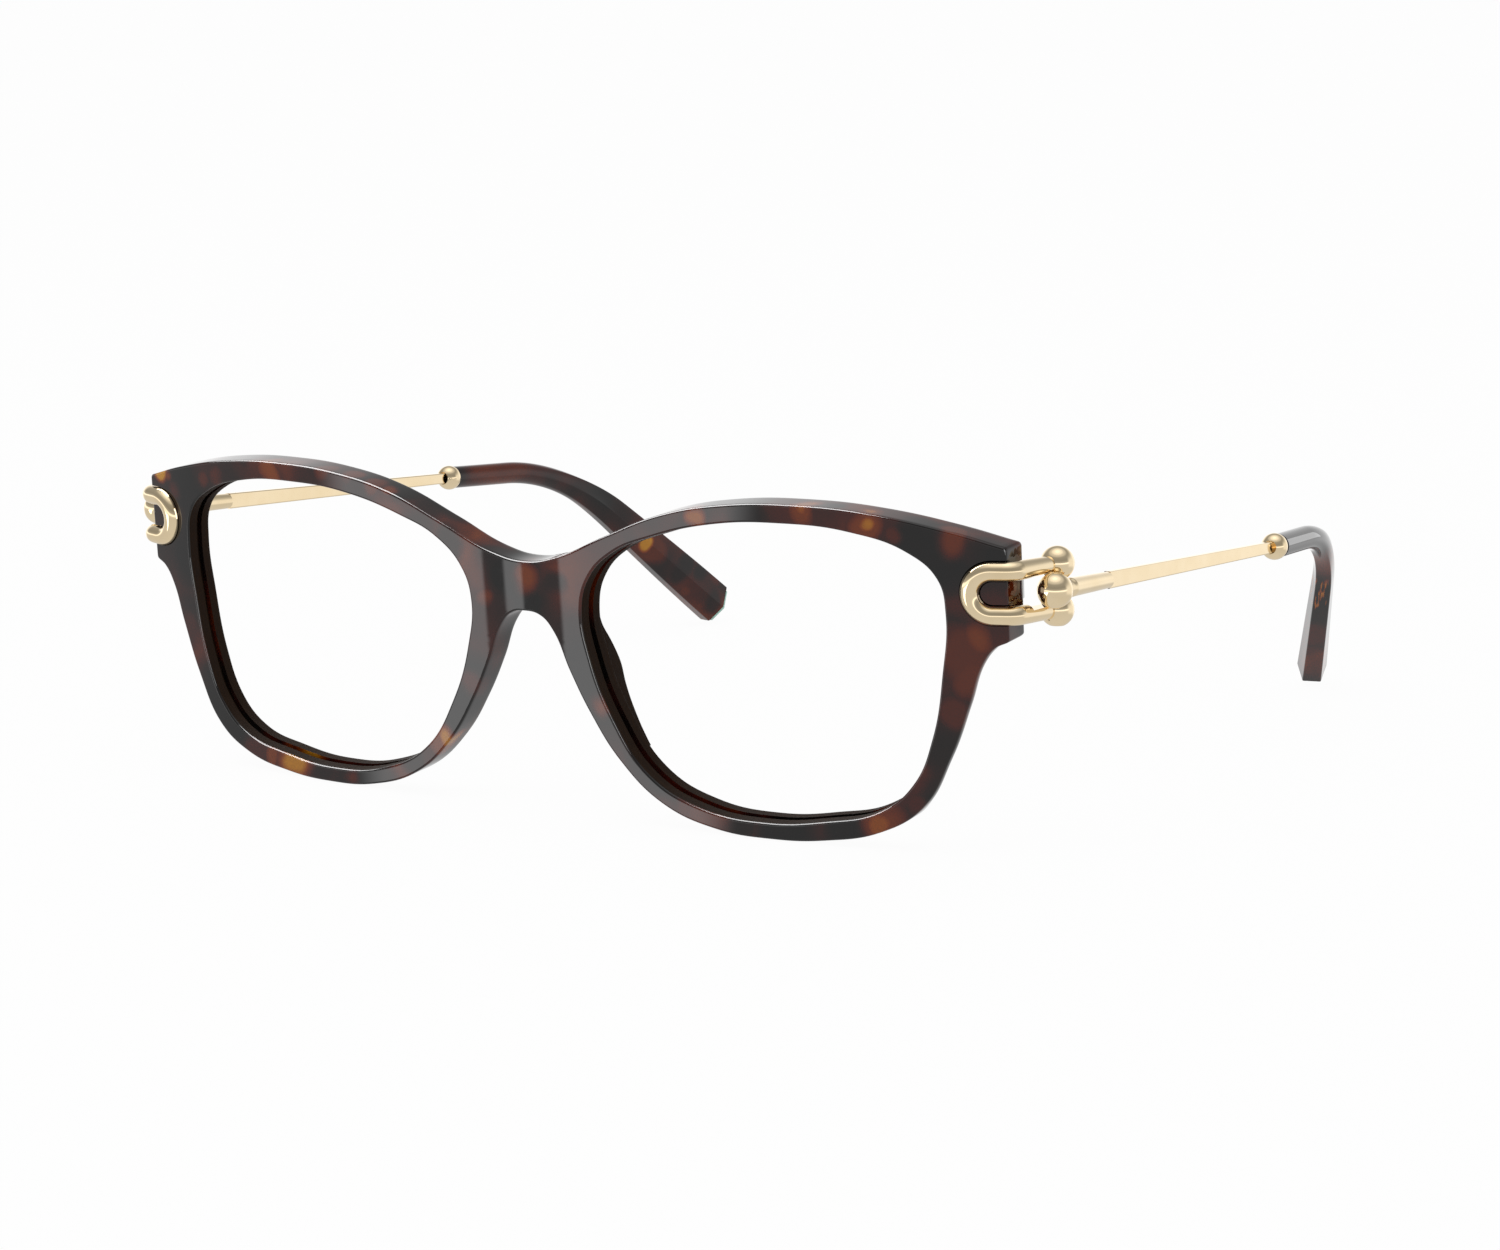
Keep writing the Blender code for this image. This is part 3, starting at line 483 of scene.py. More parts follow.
def slotted_screw_tree():
    """Set a slotted screw on every point, with its head's face on the point."""
    sizes = ["Head Radius", "Head Height", "Shank Radius", "Shank Length", "Slot Width", "Slot Depth"]
    tree, inputs, outputs = new_tree(
        "slotted_screws",
        [(size, "NodeSocketFloat") for size in sizes]
        + [("Facing", "NodeSocketRotation"), ("Finish", "NodeSocketMaterial")])
    size = {label: inputs.outputs[label] for label in sizes}

    def measure(operation, first, second):
        return add_math(tree, operation, first, second)

    def cylinder(radius, height, depth):
        """An upright cylinder whose middle lies at the given depth below the point."""
        made = add_node(tree, "GeometryNodeMeshCylinder", Vertices=PIN_SEGMENTS, Radius=radius, Depth=height)
        offset = add_node(tree, "ShaderNodeCombineXYZ", Z=measure("MULTIPLY", depth, -1.0))
        moved = add_node(
            tree, "GeometryNodeTransform", Geometry=made.outputs["Mesh"],
            Translation=offset.outputs["Vector"])
        return moved.outputs["Geometry"]

    head_middle = measure("MULTIPLY", size["Head Height"], 0.5)
    head = cylinder(size["Head Radius"], size["Head Height"], head_middle)
    length = measure("ADD", size["Shank Length"], size["Head Height"])
    shank_height = measure("SUBTRACT", length, size["Slot Depth"])
    shank_middle = measure("MULTIPLY", measure("ADD", length, size["Slot Depth"]), 0.5)
    shank = cylinder(size["Shank Radius"], shank_height, shank_middle)
    slot_size = add_node(
        tree, "ShaderNodeCombineXYZ", X=measure("MULTIPLY", size["Head Radius"], 3.0), Y=size["Slot Width"],
        Z=measure("MULTIPLY", size["Slot Depth"], 2.0))
    slot = add_node(tree, "GeometryNodeMeshCube", Size=slot_size.outputs["Vector"])
    whole = add_node(tree, "GeometryNodeMeshBoolean", {"operation": "UNION", "solver": "EXACT"})
    for solid in (shank, head):
        feed_named(tree, whole, Mesh_2=solid)
    slotted = add_node(
        tree, "GeometryNodeMeshBoolean", {"operation": "DIFFERENCE", "solver": "EXACT"},
        Mesh_1=whole.outputs["Mesh"], Mesh_2=slot.outputs["Mesh"])
    screws = add_node(
        tree, "GeometryNodeInstanceOnPoints", Points=inputs.outputs["Geometry"],
        Instance=slotted.outputs["Mesh"], Rotation=inputs.outputs["Facing"])
    return end_tree(tree, inputs, outputs, screws.outputs["Instances"])


def grow(tree, mesh, values):
    """Run a geometry tree on a mesh with the given named inputs and keep the result as a plain mesh."""
    holder = add_object("holder", mesh)
    modifier = holder.modifiers.new(tree.name, "NODES")
    modifier.node_group = tree
    for item in tree.interface.items_tree:
        if item.item_type == "SOCKET" and item.in_out == "INPUT" and item.name in values:
            modifier[item.identifier] = values[item.name]
    grown = mesh_of(holder)
    bpy.data.meshes.remove(mesh)
    return grown


def round_bar(places, radii, finish):
    line = bpy.data.meshes.new("line")
    line.from_pydata(places, [(index, index + 1) for index in range(len(places) - 1)], [])
    radius = line.attributes.new("bar_radius", "FLOAT", "POINT")
    for index, value in enumerate(radii):
        radius.data[index].value = value
    return grow(TREES["bar"], line, {"Sides": BAR_SIDES, "Finish": finish})


def slotted_screws(places, facing, sizes, finish):
    points = bpy.data.meshes.new("points")
    points.from_pydata(places, [], [])
    values = {"Slot Width": SLOT_WIDTH, "Slot Depth": SLOT_DEPTH, "Facing": facing, "Finish": finish, **sizes}
    return grow(TREES["screws"], points, values)


# Shader helpers

def map_range(tree, value, low, high, to_low=0.0, to_high=1.0, smooth=True):
    node = add_node(
        tree, "ShaderNodeMapRange", {"interpolation_type": "SMOOTHSTEP" if smooth else "LINEAR"},
        Value=value, From_Min=low, From_Max=high, To_Min=to_low, To_Max=to_high)
    return node.outputs["Result"]


def noise(tree, vector, scale, detail, distortion=0.0):
    return add_node(
        tree, "ShaderNodeTexNoise", Vector=vector, Scale=scale, Detail=detail, Distortion=distortion).outputs


def colour_ramp(tree, value, stops, interpolation="EASE"):
    node = tree.nodes.new("ShaderNodeValToRGB")
    node.color_ramp.interpolation = interpolation
    elements = node.color_ramp.elements
    while len(elements) < len(stops):
        elements.new(1.0)
    for element, (place, colour) in zip(elements, stops):
        element.position = place
        element.color = (*colour, 1)
    tree.links.new(value, node.inputs["Fac"])
    return node.outputs["Color"]


def new_finish(name, **sockets):
    material = bpy.data.materials.new(name)
    material.use_nodes = True
    shader = material.node_tree.nodes["Principled BSDF"]
    feed_named(material.node_tree, shader, **sockets)
    return material, material.node_tree, shader


def object_coordinates(tree):
    return tree.nodes.new("ShaderNodeTexCoord").outputs["Object"]


# Finishes

# Colours of the acetate from its darkest to its warmest, and how its pattern wanders and clouds over
WARMTH_COLOURS = [
    (0.0, (0.0042, 0.0034, 0.0032)), (0.15, (0.018, 0.0050, 0.0040)), (0.3, (0.05, 0.0065, 0.0035)),
    (0.5, (0.12, 0.018, 0.003)), (0.7, (0.22, 0.046, 0.004)), (0.85, (0.34, 0.115, 0.007)),
    (1.0, (0.55, 0.25, 0.015)),
]
WANDER = 0.003
WANDER_SCALE = 170
CLOUD_SCALE = 95
CLOUD_DISTORTION = 0.3
CLOUD_SPAN = (0.42, 0.80)
CLOUD_WARMTH = 0.6
TIP_CLOUD_SHIFT = 0.08
SPOT_CORE = 0.4
STREAK_SCALE = 3000
STREAK_STRETCH = 0.1
STREAK_SPAN = (0.50, 0.66)
POLISH_SCALE = 900
POLISH_ROUGHNESS = (0.010, 0.018)

# The span of a noise's values over which a finish's roughness changes
NOISE_SPAN = (0.3, 0.7)


def wandered(tree, place):
    """Coordinates that drift a little, so that no blotch is round."""
    drift = noise(tree, place, WANDER_SCALE, 1.0)["Color"]
    shifted = add_vector_math(tree, "MULTIPLY_ADD", drift, (WANDER,) * 3, place)
    return add_vector_math(tree, "ADD", shifted, (-WANDER / 2,) * 3)


def spot_mask(tree, coordinates, spots):
    """The strongest of several soft round spots, each a centre, a radius and a strength."""
    strongest = None
    for centre, radius, strength in spots:
        gap = add_vector_math(tree, "DISTANCE", coordinates, centre, output="Value")
        mask = map_range(tree, gap, radius * MM, SPOT_CORE * radius * MM, 0.0, strength)
        strongest = mask if strongest is None else add_math(tree, "MAXIMUM", strongest, mask)
    return strongest


def face_spots(spots):
    """Spots given by x and z on the front's face, as places in the scene."""
    places = []
    for x, z, radius, strength in spots:
        place = FRONT_SPACE @ Vector((x, face_bow(x) + SPOT_DEPTH, z))
        places.append((place, radius, strength))
    return places


def temple_spots(spots):
    """Spots given by side and place on a temple, as places in the scene."""
    places = []
    for side, place, radius, strength in spots:
        places.append((TEMPLE_SPACE[side] @ sided(side, place), radius, strength))
    return places


def streaks(tree, place):
    """Fine streaks that run down the drooping tips."""
    along = Vector(TIP_END) - Vector(BEND_CORNER)
    swing = math.atan2(along.x, along.y)
    droop = math.atan2(-along.z, math.hypot(along.x, along.y))
    for settings in (
            {"Rotation": (0, 0, swing)}, {"Rotation": (droop, 0, 0)}, {"Scale": (1, STREAK_STRETCH, 1)}):
        place = add_node(tree, "ShaderNodeMapping", Vector=place, **settings).outputs["Vector"]
    return map_range(tree, noise(tree, place, STREAK_SCALE, 1.0)["Fac"], *STREAK_SPAN)


def tortoiseshell(name, warm_spots, dark_spots, streak_spots=(), cloud_shift=0.0):
    """Polished acetate: clouds, spots and streaks each have a warmth, and the warmest gives the colour."""
    material, tree, shader = new_finish(name, IOR=1.5)
    place = object_coordinates(tree)
    drifting = wandered(tree, place)
    clouds = noise(tree, drifting, CLOUD_SCALE, 1.0, CLOUD_DISTORTION)["Fac"]
    low, high = CLOUD_SPAN
    warmth = map_range(
        tree, clouds, low - cloud_shift, high - cloud_shift, 0.0, CLOUD_WARMTH, smooth=False)
    undimmed = add_math(tree, "SUBTRACT", 1.0, spot_mask(tree, drifting, dark_spots))
    warmth = add_math(tree, "MULTIPLY", warmth, undimmed)
    warmth = add_math(tree, "MAXIMUM", warmth, spot_mask(tree, drifting, warm_spots))
    if streak_spots:
        streaked = add_math(tree, "MULTIPLY", streaks(tree, place), spot_mask(tree, drifting, streak_spots))
        warmth = add_math(tree, "MAXIMUM", warmth, streaked)
    polish = noise(tree, place, POLISH_SCALE, 2.0)["Fac"]
    feed_named(
        tree, shader, Base_Color=colour_ramp(tree, warmth, WARMTH_COLOURS, "LINEAR"),
        Roughness=map_range(tree, polish, *NOISE_SPAN, *POLISH_ROUGHNESS))
    return material


def grained_finish(name, grain, colours, roughness, stretch=(1, 1, 1), tone=None, bump=None, **sockets):
    """A finish with the colour and roughness of a noise: grain and tone are a noise's scale and detail.

    The tone, where there is one, gives the colour instead of the grain. The bump is a strength and a depth.
    """
    material, tree, shader = new_finish(name, **sockets)
    place = object_coordinates(tree)
    stretched = add_node(tree, "ShaderNodeMapping", Vector=place, Scale=stretch).outputs["Vector"]
    height = noise(tree, stretched, *grain)["Fac"]
    colour_value = noise(tree, place, *tone)["Fac"] if tone else height
    feed_named(
        tree, shader, Base_Color=colour_ramp(tree, colour_value, colours),
        Roughness=map_range(tree, height, *NOISE_SPAN, *roughness))
    if bump:
        strength, depth = bump
        bumped = add_node(tree, "ShaderNodeBump", Strength=strength, Distance=depth, Height=height)
        feed_named(tree, shader, Normal=bumped.outputs["Normal"])
    return material


# The front

def face_bow(x):
    """How far the front's face lies behind the bridge, at x from the middle."""
    return FACE_BOW_SQUARE * x ** 2 + FACE_BOW_FOURTH * x ** 4


def face_slope(x):
    return 2 * FACE_BOW_SQUARE * x + 4 * FACE_BOW_FOURTH * x ** 3


def mirrored(points):
    return [(-x, z) for x, z in points]


def end_piece_corners():
    """The end piece's two corners, each as a short arc."""
    arcs = []
    for before, corner, after in (
            (BROW_LINE[-1], END_PIECE_TOP, END_PIECE_FOOT), (END_PIECE_TOP, END_PIECE_FOOT, CHEEK_LINE[0])):
        places = [Vector((*place, 0)) for place in (before, corner, after)]
        arc = rounded_corner(*places, END_CORNER_RADIUS, TIP_CORNER_STEPS)
        arcs += [(place.x, place.y) for place in arc]
    return arcs


def front_outline():
    """Outline points with a mark for those that lie on the end pieces' straight edges."""
    corners = end_piece_corners()
    half = BROW_LINE + corners + CHEEK_LINE
    outline = [BRIDGE_TOP] + half + [BRIDGE_UNDERSIDE] + mirrored(half)[::-1]
    return outline, set(corners + mirrored(corners))


def add_outline(curve, outline, straight=()):
    """Add a closed spline through the outline's points, smooth except at the straight ones."""
    spline = curve.splines.new("BEZIER")
    spline.bezier_points.add(len(outline) - 1)
    spline.use_cyclic_u = True
    spline.resolution_u = OUTLINE_STEPS
    for point, (x, z) in zip(spline.bezier_points, outline):
        point.co = (x, z, 0)
        handle = "VECTOR" if (x, z) in straight else "AUTO"
        point.handle_left_type = handle
        point.handle_right_type = handle


def towards_lens(x, z, step):
    """The point moved by step towards the centre of the lens on its own side."""
    offset = Vector((math.copysign(LENS_CENTRE[0], x), LENS_CENTRE[1])) - Vector((x, z))
    return Vector((x, z)) + offset.normalized() * step


NEAR_OPENING = [towards_lens(*point, -NEAR_OPENING_MARGIN) for point in LENS_OPENING]


def is_near_opening(x, z):
    x = abs(x)
    crossings = 0
    for near, far in zip(NEAR_OPENING, NEAR_OPENING[1:] + NEAR_OPENING[:1]):
        if (near.y > z) != (far.y > z):
            crossings += x < near.x + (z - near.y) * (far.x - near.x) / (far.y - near.y)
    return crossings % 2 == 1


def rim_ease(x, z):
    """How far the rim's outer wall leans in towards its rear edge."""
    ease = REAR_EASE
    for value, span in ((abs(x), EASE_TEMPORAL), (-z, EASE_BELOW), (-z, EASE_ABOVE)):
        ease *= eased(value, span)
    return ease


def wall_heights(wall_half):
    """The heights at which the walls are cut: even steps, and both lips of the lens groove."""
    even = [wall_half * (2 * step / (WALL_SLICES + 1) - 1) for step in range(1, WALL_SLICES + 1)]
    middle = FRONT_THICKNESS / 2 - GROOVE_BEHIND_FACE
    half = GROOVE_WIDTH / 2
    lips = [middle + lift * (half - inset) for lift in ROWS.values() for inset in (0, GROOVE_LIP)]
    return even + lips


def is_in_groove(depth):
    return abs(depth - GROOVE_BEHIND_FACE) < GROOVE_WIDTH / 2 - GROOVE_LIP / 2


def end_rib(side):
    start, stop = END_RIB_SPAN
    rear = face_bow(start) + FRONT_THICKNESS
    tilt = math.atan((face_bow(stop) - face_bow(start)) / (stop - start))
    rib = block((0, 0, 0), ((stop - start) / math.cos(tilt), 2 * END_RIB_RISE, END_RIB_HEIGHT))
    middle = Vector((side * (start + stop) / 2, (rear + face_bow(stop) + FRONT_THICKNESS) / 2, BOW_CENTRE_Z))
    rib.transform(Matrix.Translation(middle) @ Matrix.Rotation(side * tilt, 4, "Z"))
    return rib


def point_finder(places):
    finder = KDTree(len(places))
    for index, place in enumerate(places):
        finder.insert(place, index)
    finder.balance()
    return finder


def outer_share_finder(work, wall_half):
    """A function that tells how far a place is from the lens opening's edge on the way to the outer edge."""
    walls = [vert.co for vert in work.verts if abs(vert.co.z) < wall_half + FLAT_TOLERANCE]
    inner = point_finder([(x, z, 0) for x, z, _ in walls if is_near_opening(x, z)])
    outer = point_finder([(x, z, 0) for x, z, _ in walls if not is_near_opening(x, z)])

    def outer_share(x, z):
        to_inner = inner.find((x, z, 0))[2]
        to_outer = outer.find((x, z, 0))[2]
        return to_inner / (to_inner + to_outer)

    return outer_share


def slice_faces(work, faces, places, direction):
    """Cut faces by a row of parallel planes."""
    for place in places:
        edges = {edge for face in faces for edge in face.edges}
        verts = {vert for face in faces for vert in face.verts}
        count = len(work.faces)
        bmesh.ops.bisect_plane(
            work, geom=[*faces, *edges, *verts], plane_co=direction * place, plane_no=direction)
        work.faces.ensure_lookup_table()
        faces = [face for face in faces if face.is_valid] + list(work.faces)[count:]


def flat_plate(outlines, straight, thickness, rounding, growth):
    """A plate with rounded edges, still flat: x and z as on the front, and the height towards its face."""
    curve = bpy.data.curves.new("plate", "CURVE")
    curve.dimensions = "2D"
    curve.fill_mode = "BOTH"
    curve.extrude = thickness / 2 - rounding
    curve.bevel_depth = rounding
    curve.bevel_resolution = EDGE_ROUNDING_STEPS
    curve.offset = growth - rounding
    for outline in outlines:
        add_outline(curve, outline, straight)
    mesh = mesh_of(add_object("holder", curve))
    work = bmesh.new()
    work.from_mesh(mesh)
    bmesh.ops.remove_doubles(work, verts=work.verts, dist=MERGE_DISTANCE)
    return work


def front_mesh(gold):
    outline, straight = front_outline()
    openings = [LENS_OPENING, mirrored(LENS_OPENING)]
    half = FRONT_THICKNESS / 2
    work = flat_plate([outline, *openings], straight, FRONT_THICKNESS, EDGE_ROUNDING, WALL_GROWTH)
    broad = [face for face in work.faces if abs(face.calc_center_median().z) > half - FLAT_TOLERANCE]
    reach = int(END_PIECE_TOP[0] / FACE_SLICE)
    slice_faces(work, broad, [step * FACE_SLICE for step in range(-reach, reach + 1)], Vector((1, 0, 0)))
    walls = [face for face in work.faces if abs(face.calc_center_median().z) < half - EDGE_ROUNDING]
    wall_half = half - EDGE_ROUNDING
    slice_faces(work, walls, wall_heights(wall_half), Vector((0, 0, 1)))
    outer_share = outer_share_finder(work, wall_half)
    for vert in work.verts:
        x, z, height = vert.co
        depth = min(max((wall_half - height) / (2 * wall_half), 0.0), 1.0)
        outer = outer_share(x, z)
        lean = rim_ease(x, z) * depth ** 2 * outer + OPENING_TAPER * depth * (1 - outer)
        if outer < OPENING_EDGE_SHARE and is_in_groove(half - height):
            lean -= GROOVE_DEPTH
        x, z = towards_lens(x, z, lean)
        vert.co = (x, half - height + face_bow(x), z)
    plate = bmesh_to_mesh(work)
    cuts = []
    back = Vector((0, 1, 0))
    for side in SIDES:
        cuts.append(("UNION", end_rib(side)))
        path = shackle_path(side)
        cuts.append(("DIFFERENCE", round_bar(path, bar_radii(path, SHACKLE_POCKET_GAP), gold)))
        for head_place in anchor_heads(side):
            seat = head_place - back * (ANCHOR_HEAD_HEIGHT + ANCHOR_GAP)
            pocket = pin(seat, head_place + back * BORE_REACH, ANCHOR_HEAD_RADIUS + ANCHOR_GAP)
            cuts.append(("DIFFERENCE", pocket))
    return carve(plate, *cuts)


def smooth_front_faces(mesh):
    """Give the broad faces the exact normals of the bowed sheet, so that reflections run smoothly."""
    to_front = FRONT_SPACE.inverted()
    turn = FRONT_SPACE.to_3x3()
    local = [to_front @ vertex.co for vertex in mesh.vertices]
    depths = [place.y - face_bow(place.x) for place in local]
    normals = [Vector(corner.vector) for corner in mesh.corner_normals]
    for polygon in mesh.polygons:
        for level, facing in ((0.0, -1), (FRONT_THICKNESS, 1)):
            if all(abs(depths[index] - level) < SHEET_TOLERANCE for index in polygon.vertices):
                for corner in polygon.loop_indices:
                    x = local[mesh.loops[corner].vertex_index].x
                    normals[corner] = (turn @ Vector((-facing * face_slope(x), facing, 0))).normalized()
    mesh.normals_split_custom_set(normals)


def mark_lens_walls(mesh):
    """Give the walls round the lens openings, with their grooves, the piece's second finish."""
    to_front = FRONT_SPACE.inverted()
    for polygon in mesh.polygons:
        x, y, z = to_front @ polygon.center
        depth = y - face_bow(x)
        if depth < EDGE_ROUNDING or not is_near_opening(x, z):
            continue
        normal = (to_front.to_3x3() @ polygon.normal).normalized()
        inwards = (towards_lens(x, z, 1) - Vector((x, z))).dot(Vector((normal.x, normal.z)))
        if inwards > LENS_WALL_FACING or is_in_groove(depth):
            polygon.material_index = 1


def pad_mesh(side):
    rings = []
    crown = through(PAD_CROWN, PAD_STEPS)
    for z, lens_x, nose_x, rise in through(PAD_STATIONS, PAD_STEPS):
        section = [(lens_x, -PAD_SINK)]
        section += [(lens_x + (nose_x - lens_x) * share, height * rise) for share, height in crown]
        section.append((nose_x, -PAD_SINK))
        rings.append([(side * x, face_bow(x) + FRONT_THICKNESS + depth, z) for x, depth in section])
    return loft(rings)


# The shackle hinge

def end_ball_places(side):
    """The two end balls' centres in the front's space."""
    centre = sided(side, HINGE_PLACE)
    lift = Vector((0, 0, END_BALL_SPACING / 2))
    return [TILT.inverted() @ (centre + row * lift) for row in ROWS.values()]


def shackle_path(side):
    """Centre line of the shackle from the upper end ball round the bow to the lower one."""
    def on_face(x, z):
        return Vector((side * x, face_bow(x), z))

    runs = []
    for end_ball, lift in zip(end_ball_places(side), ROWS.values()):
        arm_z = BOW_CENTRE_Z + lift * BOW_RADIUS
        arm_start = on_face(BOW_CENTRE_X, arm_z)
        corner = on_face(ARM_CORNER_X, arm_z)
        bend = rounded_corner(arm_start, corner, end_ball, ARM_CORNER_RADIUS, CORNER_STEPS)
        runs.append([*bend, end_ball])
    bow = []
    for step in range(BOW_STEPS + 1):
        angle = math.pi * (0.5 + step / BOW_STEPS)
        x = BOW_CENTRE_X + BOW_RADIUS * math.cos(angle)
        bow.append(on_face(x, BOW_CENTRE_Z + BOW_RADIUS * math.sin(angle)))
    return runs[0][::-1] + bow + runs[1]


def bar_radii(path, extra=0.0):
    """Bar radius along the shackle: slimmer towards the two end balls."""
    radii = [BOW_BAR_RADIUS + extra] * len(path)
    radii[0] = ARM_END_RADIUS + extra
    radii[-1] = ARM_END_RADIUS + extra
    return radii


def anchor_heads(side):
    """Where the anchor screws' heads face the wearer, in the front's space."""
    for lift in ROWS.values():
        z = BOW_CENTRE_Z + lift * BOW_RADIUS
        yield Vector((side * ANCHOR_X, face_bow(ANCHOR_X) + FRONT_THICKNESS - ANCHOR_HEAD_SINK, z))


def hinge_tool(side, mesh):
    """Move a mesh from the hinge's space to the front's space."""
    mesh.transform(TILT.inverted() @ Matrix.Translation(sided(side, HINGE_PLACE)))
    return mesh


def shackle_mesh(side, gold):
    path = shackle_path(side)
    bar = round_bar(path, bar_radii(path), gold)
    steps = [("UNION", ball(place, END_BALL_RADIUS)) for place in end_ball_places(side)]
    gap = block((0, 0, 0), (HINGE_TOOL_WIDTH, HINGE_GAP_LENGTH, 2 * HINGE_GAP_HALF))
    near, far = ARM_FLAT_SPAN
    flats = block((0, (near + far) / 2, 0), (HINGE_TOOL_WIDTH, far - near, 2 * ARM_FLAT_HALF))
    below = -2 * END_BALL_SPACING
    bore = pin((0, 0, below), (0, 0, SCREW_BORE_TIP), SCREW_BORE_RADIUS)
    head_bore = pin((0, 0, below), (0, 0, SCREW_HEAD_SEAT), SCREW_HEAD_BORE_RADIUS)
    steps += [("DIFFERENCE", hinge_tool(side, tool)) for tool in (gap, flats, bore, head_bore)]
    return carve(bar, *steps)


# The temple

def tip_path(side, first):
    """Points from the ferrule, round the bend, to the end of the tip."""
    end = sided(side, TIP_END)
    bend = rounded_corner(first, sided(side, BEND_CORNER), end, BEND_RADIUS, BEND_STEPS)
    straight = [first.lerp(bend[0], step / TIP_STRAIGHT_STEPS) for step in range(TIP_STRAIGHT_STEPS)]
    paddle = [bend[-1].lerp(end, step / PADDLE_STEPS) for step in range(1, PADDLE_STEPS + 1)]
    return straight + bend + paddle


def path_frames(points, side):
    """Each point with its unit directions along the path, across it outwards and up its width."""
    frames = []
    across = Vector((side, 0, 0))
    droop = (points[-1] - points[-2]).normalized()
    for index, place in enumerate(points):
        before = points[max(index - 1, 0)]
        after = points[min(index + 1, len(points) - 1)]
        along = (after - before).normalized()
        across = (across - along * across.dot(along)).normalized()
        roll = TIP_ROLL * smooth_step(along.z / droop.z)
        turned = Matrix.Rotation(-side * roll, 3, along) @ across
        frames.append((place, along, turned, along.cross(turned) * -side))
    return frames


def lengths_along(points):
    lengths = [0.0]
    for near, far in zip(points, points[1:]):
        lengths.append(lengths[-1] + (far - near).length)
    return lengths


def soft_polygon(corners, rounding):
    """A closed polygon with rounded corners and points along its sides."""
    places = [Vector((*corner, 0)) for corner in corners]
    count = len(places)
    arcs = []
    for index, corner in enumerate(places):
        before = places[index - 1]
        after = places[(index + 1) % count]
        arcs.append(rounded_corner(before, corner, after, rounding, TIP_CORNER_STEPS))
    ring = []
    for index, arc in enumerate(arcs):
        ring += arc
        following = arcs[(index + 1) % count][0]
        ring += [arc[-1].lerp(following, step / TIP_SIDE_STEPS) for step in range(1, TIP_SIDE_STEPS)]
    return [(place.x, place.y) for place in ring]


def hexagon(half_width, edge_half, ridge_half):
    return soft_polygon([
        (edge_half, half_width), (-edge_half, half_width), (-ridge_half, 0),
        (-edge_half, -half_width), (edge_half, -half_width), (ridge_half, 0)], TIP_EDGE_ROUNDING)


def tip_section(frame_at, blend, half_width, edge_half, ridge_half):
    """A ring that changes from a circle to a long hexagon with a ridge down each broad side."""
    place, _, across, up = frame_at
    ring = []
    for x, z in hexagon(half_width, edge_half, ridge_half):
        flat = Vector((x, z))
        round_place = Vector((x / ridge_half, z / half_width)).normalized() * TIP_START_RADIUS
        x, z = round_place.lerp(flat, blend)
        ring.append(place + across * x + up * z)
    return ring


def cut_end(ring, frame_at, half_width, shift=0.0):
    """Cut the end of the tip back from its ridge, more above than below."""
    place, along, _, up = frame_at
    cut = []
    for point in ring:
        height = (point - place).dot(up) / half_width
        back = TIP_UPPER_CUT * height if height > 0 else -TIP_LOWER_CUT * height
        cut.append(point + along * (shift - back))
    return cut


def temple_line(side):
    """Start ball, ferrule and the direction between them."""
    start = sided(side, TEMPLE_BALL)
    ferrule = sided(side, FERRULE_CENTRE)
    return start, ferrule, (ferrule - start).normalized()


def rod_mesh(side, gold):
    start, _, direction = temple_line(side)
    stations = [(0, NECK_RADIUS)]
    for step in range(SHOULDER_STEPS + 1):
        share = step / SHOULDER_STEPS
        radius = between((NECK_RADIUS, ROD_START_RADIUS), smooth_step(share))
        stations.append((NECK_LENGTH + SHOULDER_LENGTH * share, radius))
    third = ROD_END_ROUNDING / 3
    stations += [
        (ROD_LENGTH - ROD_END_ROUNDING, ROD_END_RADIUS), (ROD_LENGTH - third, ROD_END_RADIUS - third),
        (ROD_LENGTH, ROD_END_RADIUS - ROD_END_ROUNDING),
    ]
    places = [start + direction * distance for distance, _ in stations]
    rod = round_bar(places, [radius for _, radius in stations], gold)
    knuckle = pin((0, 0, -KNUCKLE_HALF_HEIGHT), (0, 0, KNUCKLE_HALF_HEIGHT), KNUCKLE_RADIUS)
    bore = pin((0, 0, -BORE_REACH), (0, 0, BORE_REACH), SCREW_BORE_RADIUS)
    return carve(
        rod, ("UNION", ball(start, TEMPLE_BALL_RADIUS)), ("UNION", knuckle), ("DIFFERENCE", bore))


def bar_mesh(side):
    """The flat bar from inside the rod's end to inside the tip."""
    start, ferrule, direction = temple_line(side)
    bar_start = start + direction * (ROD_LENGTH + FIT_GAP)
    bar_end = ferrule + direction * (FERRULE_CUT + TIP_JOINT_GAP + BAR_IN_TIP)
    outwards = Vector((side, 0, 0))
    across = (outwards - direction * outwards.dot(direction)).normalized()
    up = direction.cross(across) * -side
    half = BAR_THICKNESS / 2
    rings = []
    for place, height in ((bar_start, BAR_START_HEIGHT), (bar_end, BAR_END_HEIGHT)):
        half_height = height / 2
        section = soft_polygon(
            [(half, half_height), (-half, half_height), (-half, -half_height), (half, -half_height)],
            BAR_CORNER)
        rings.append([place + across * x + up * z for x, z in section])
    return loft(rings)


def ferrule_mesh(side):
    _, centre, direction = temple_line(side)
    reach = direction * FERRULE_TOOL_REACH
    rear = pin(centre + direction * FERRULE_CUT, centre + reach, 2 * FERRULE_RADIUS)
    mouth = pin(centre - reach, centre - direction * FERRULE_MOUTH_FLOOR, FERRULE_MOUTH_RADIUS)
    return carve(ball(centre, FERRULE_RADIUS), ("DIFFERENCE", rear), ("DIFFERENCE", mouth))


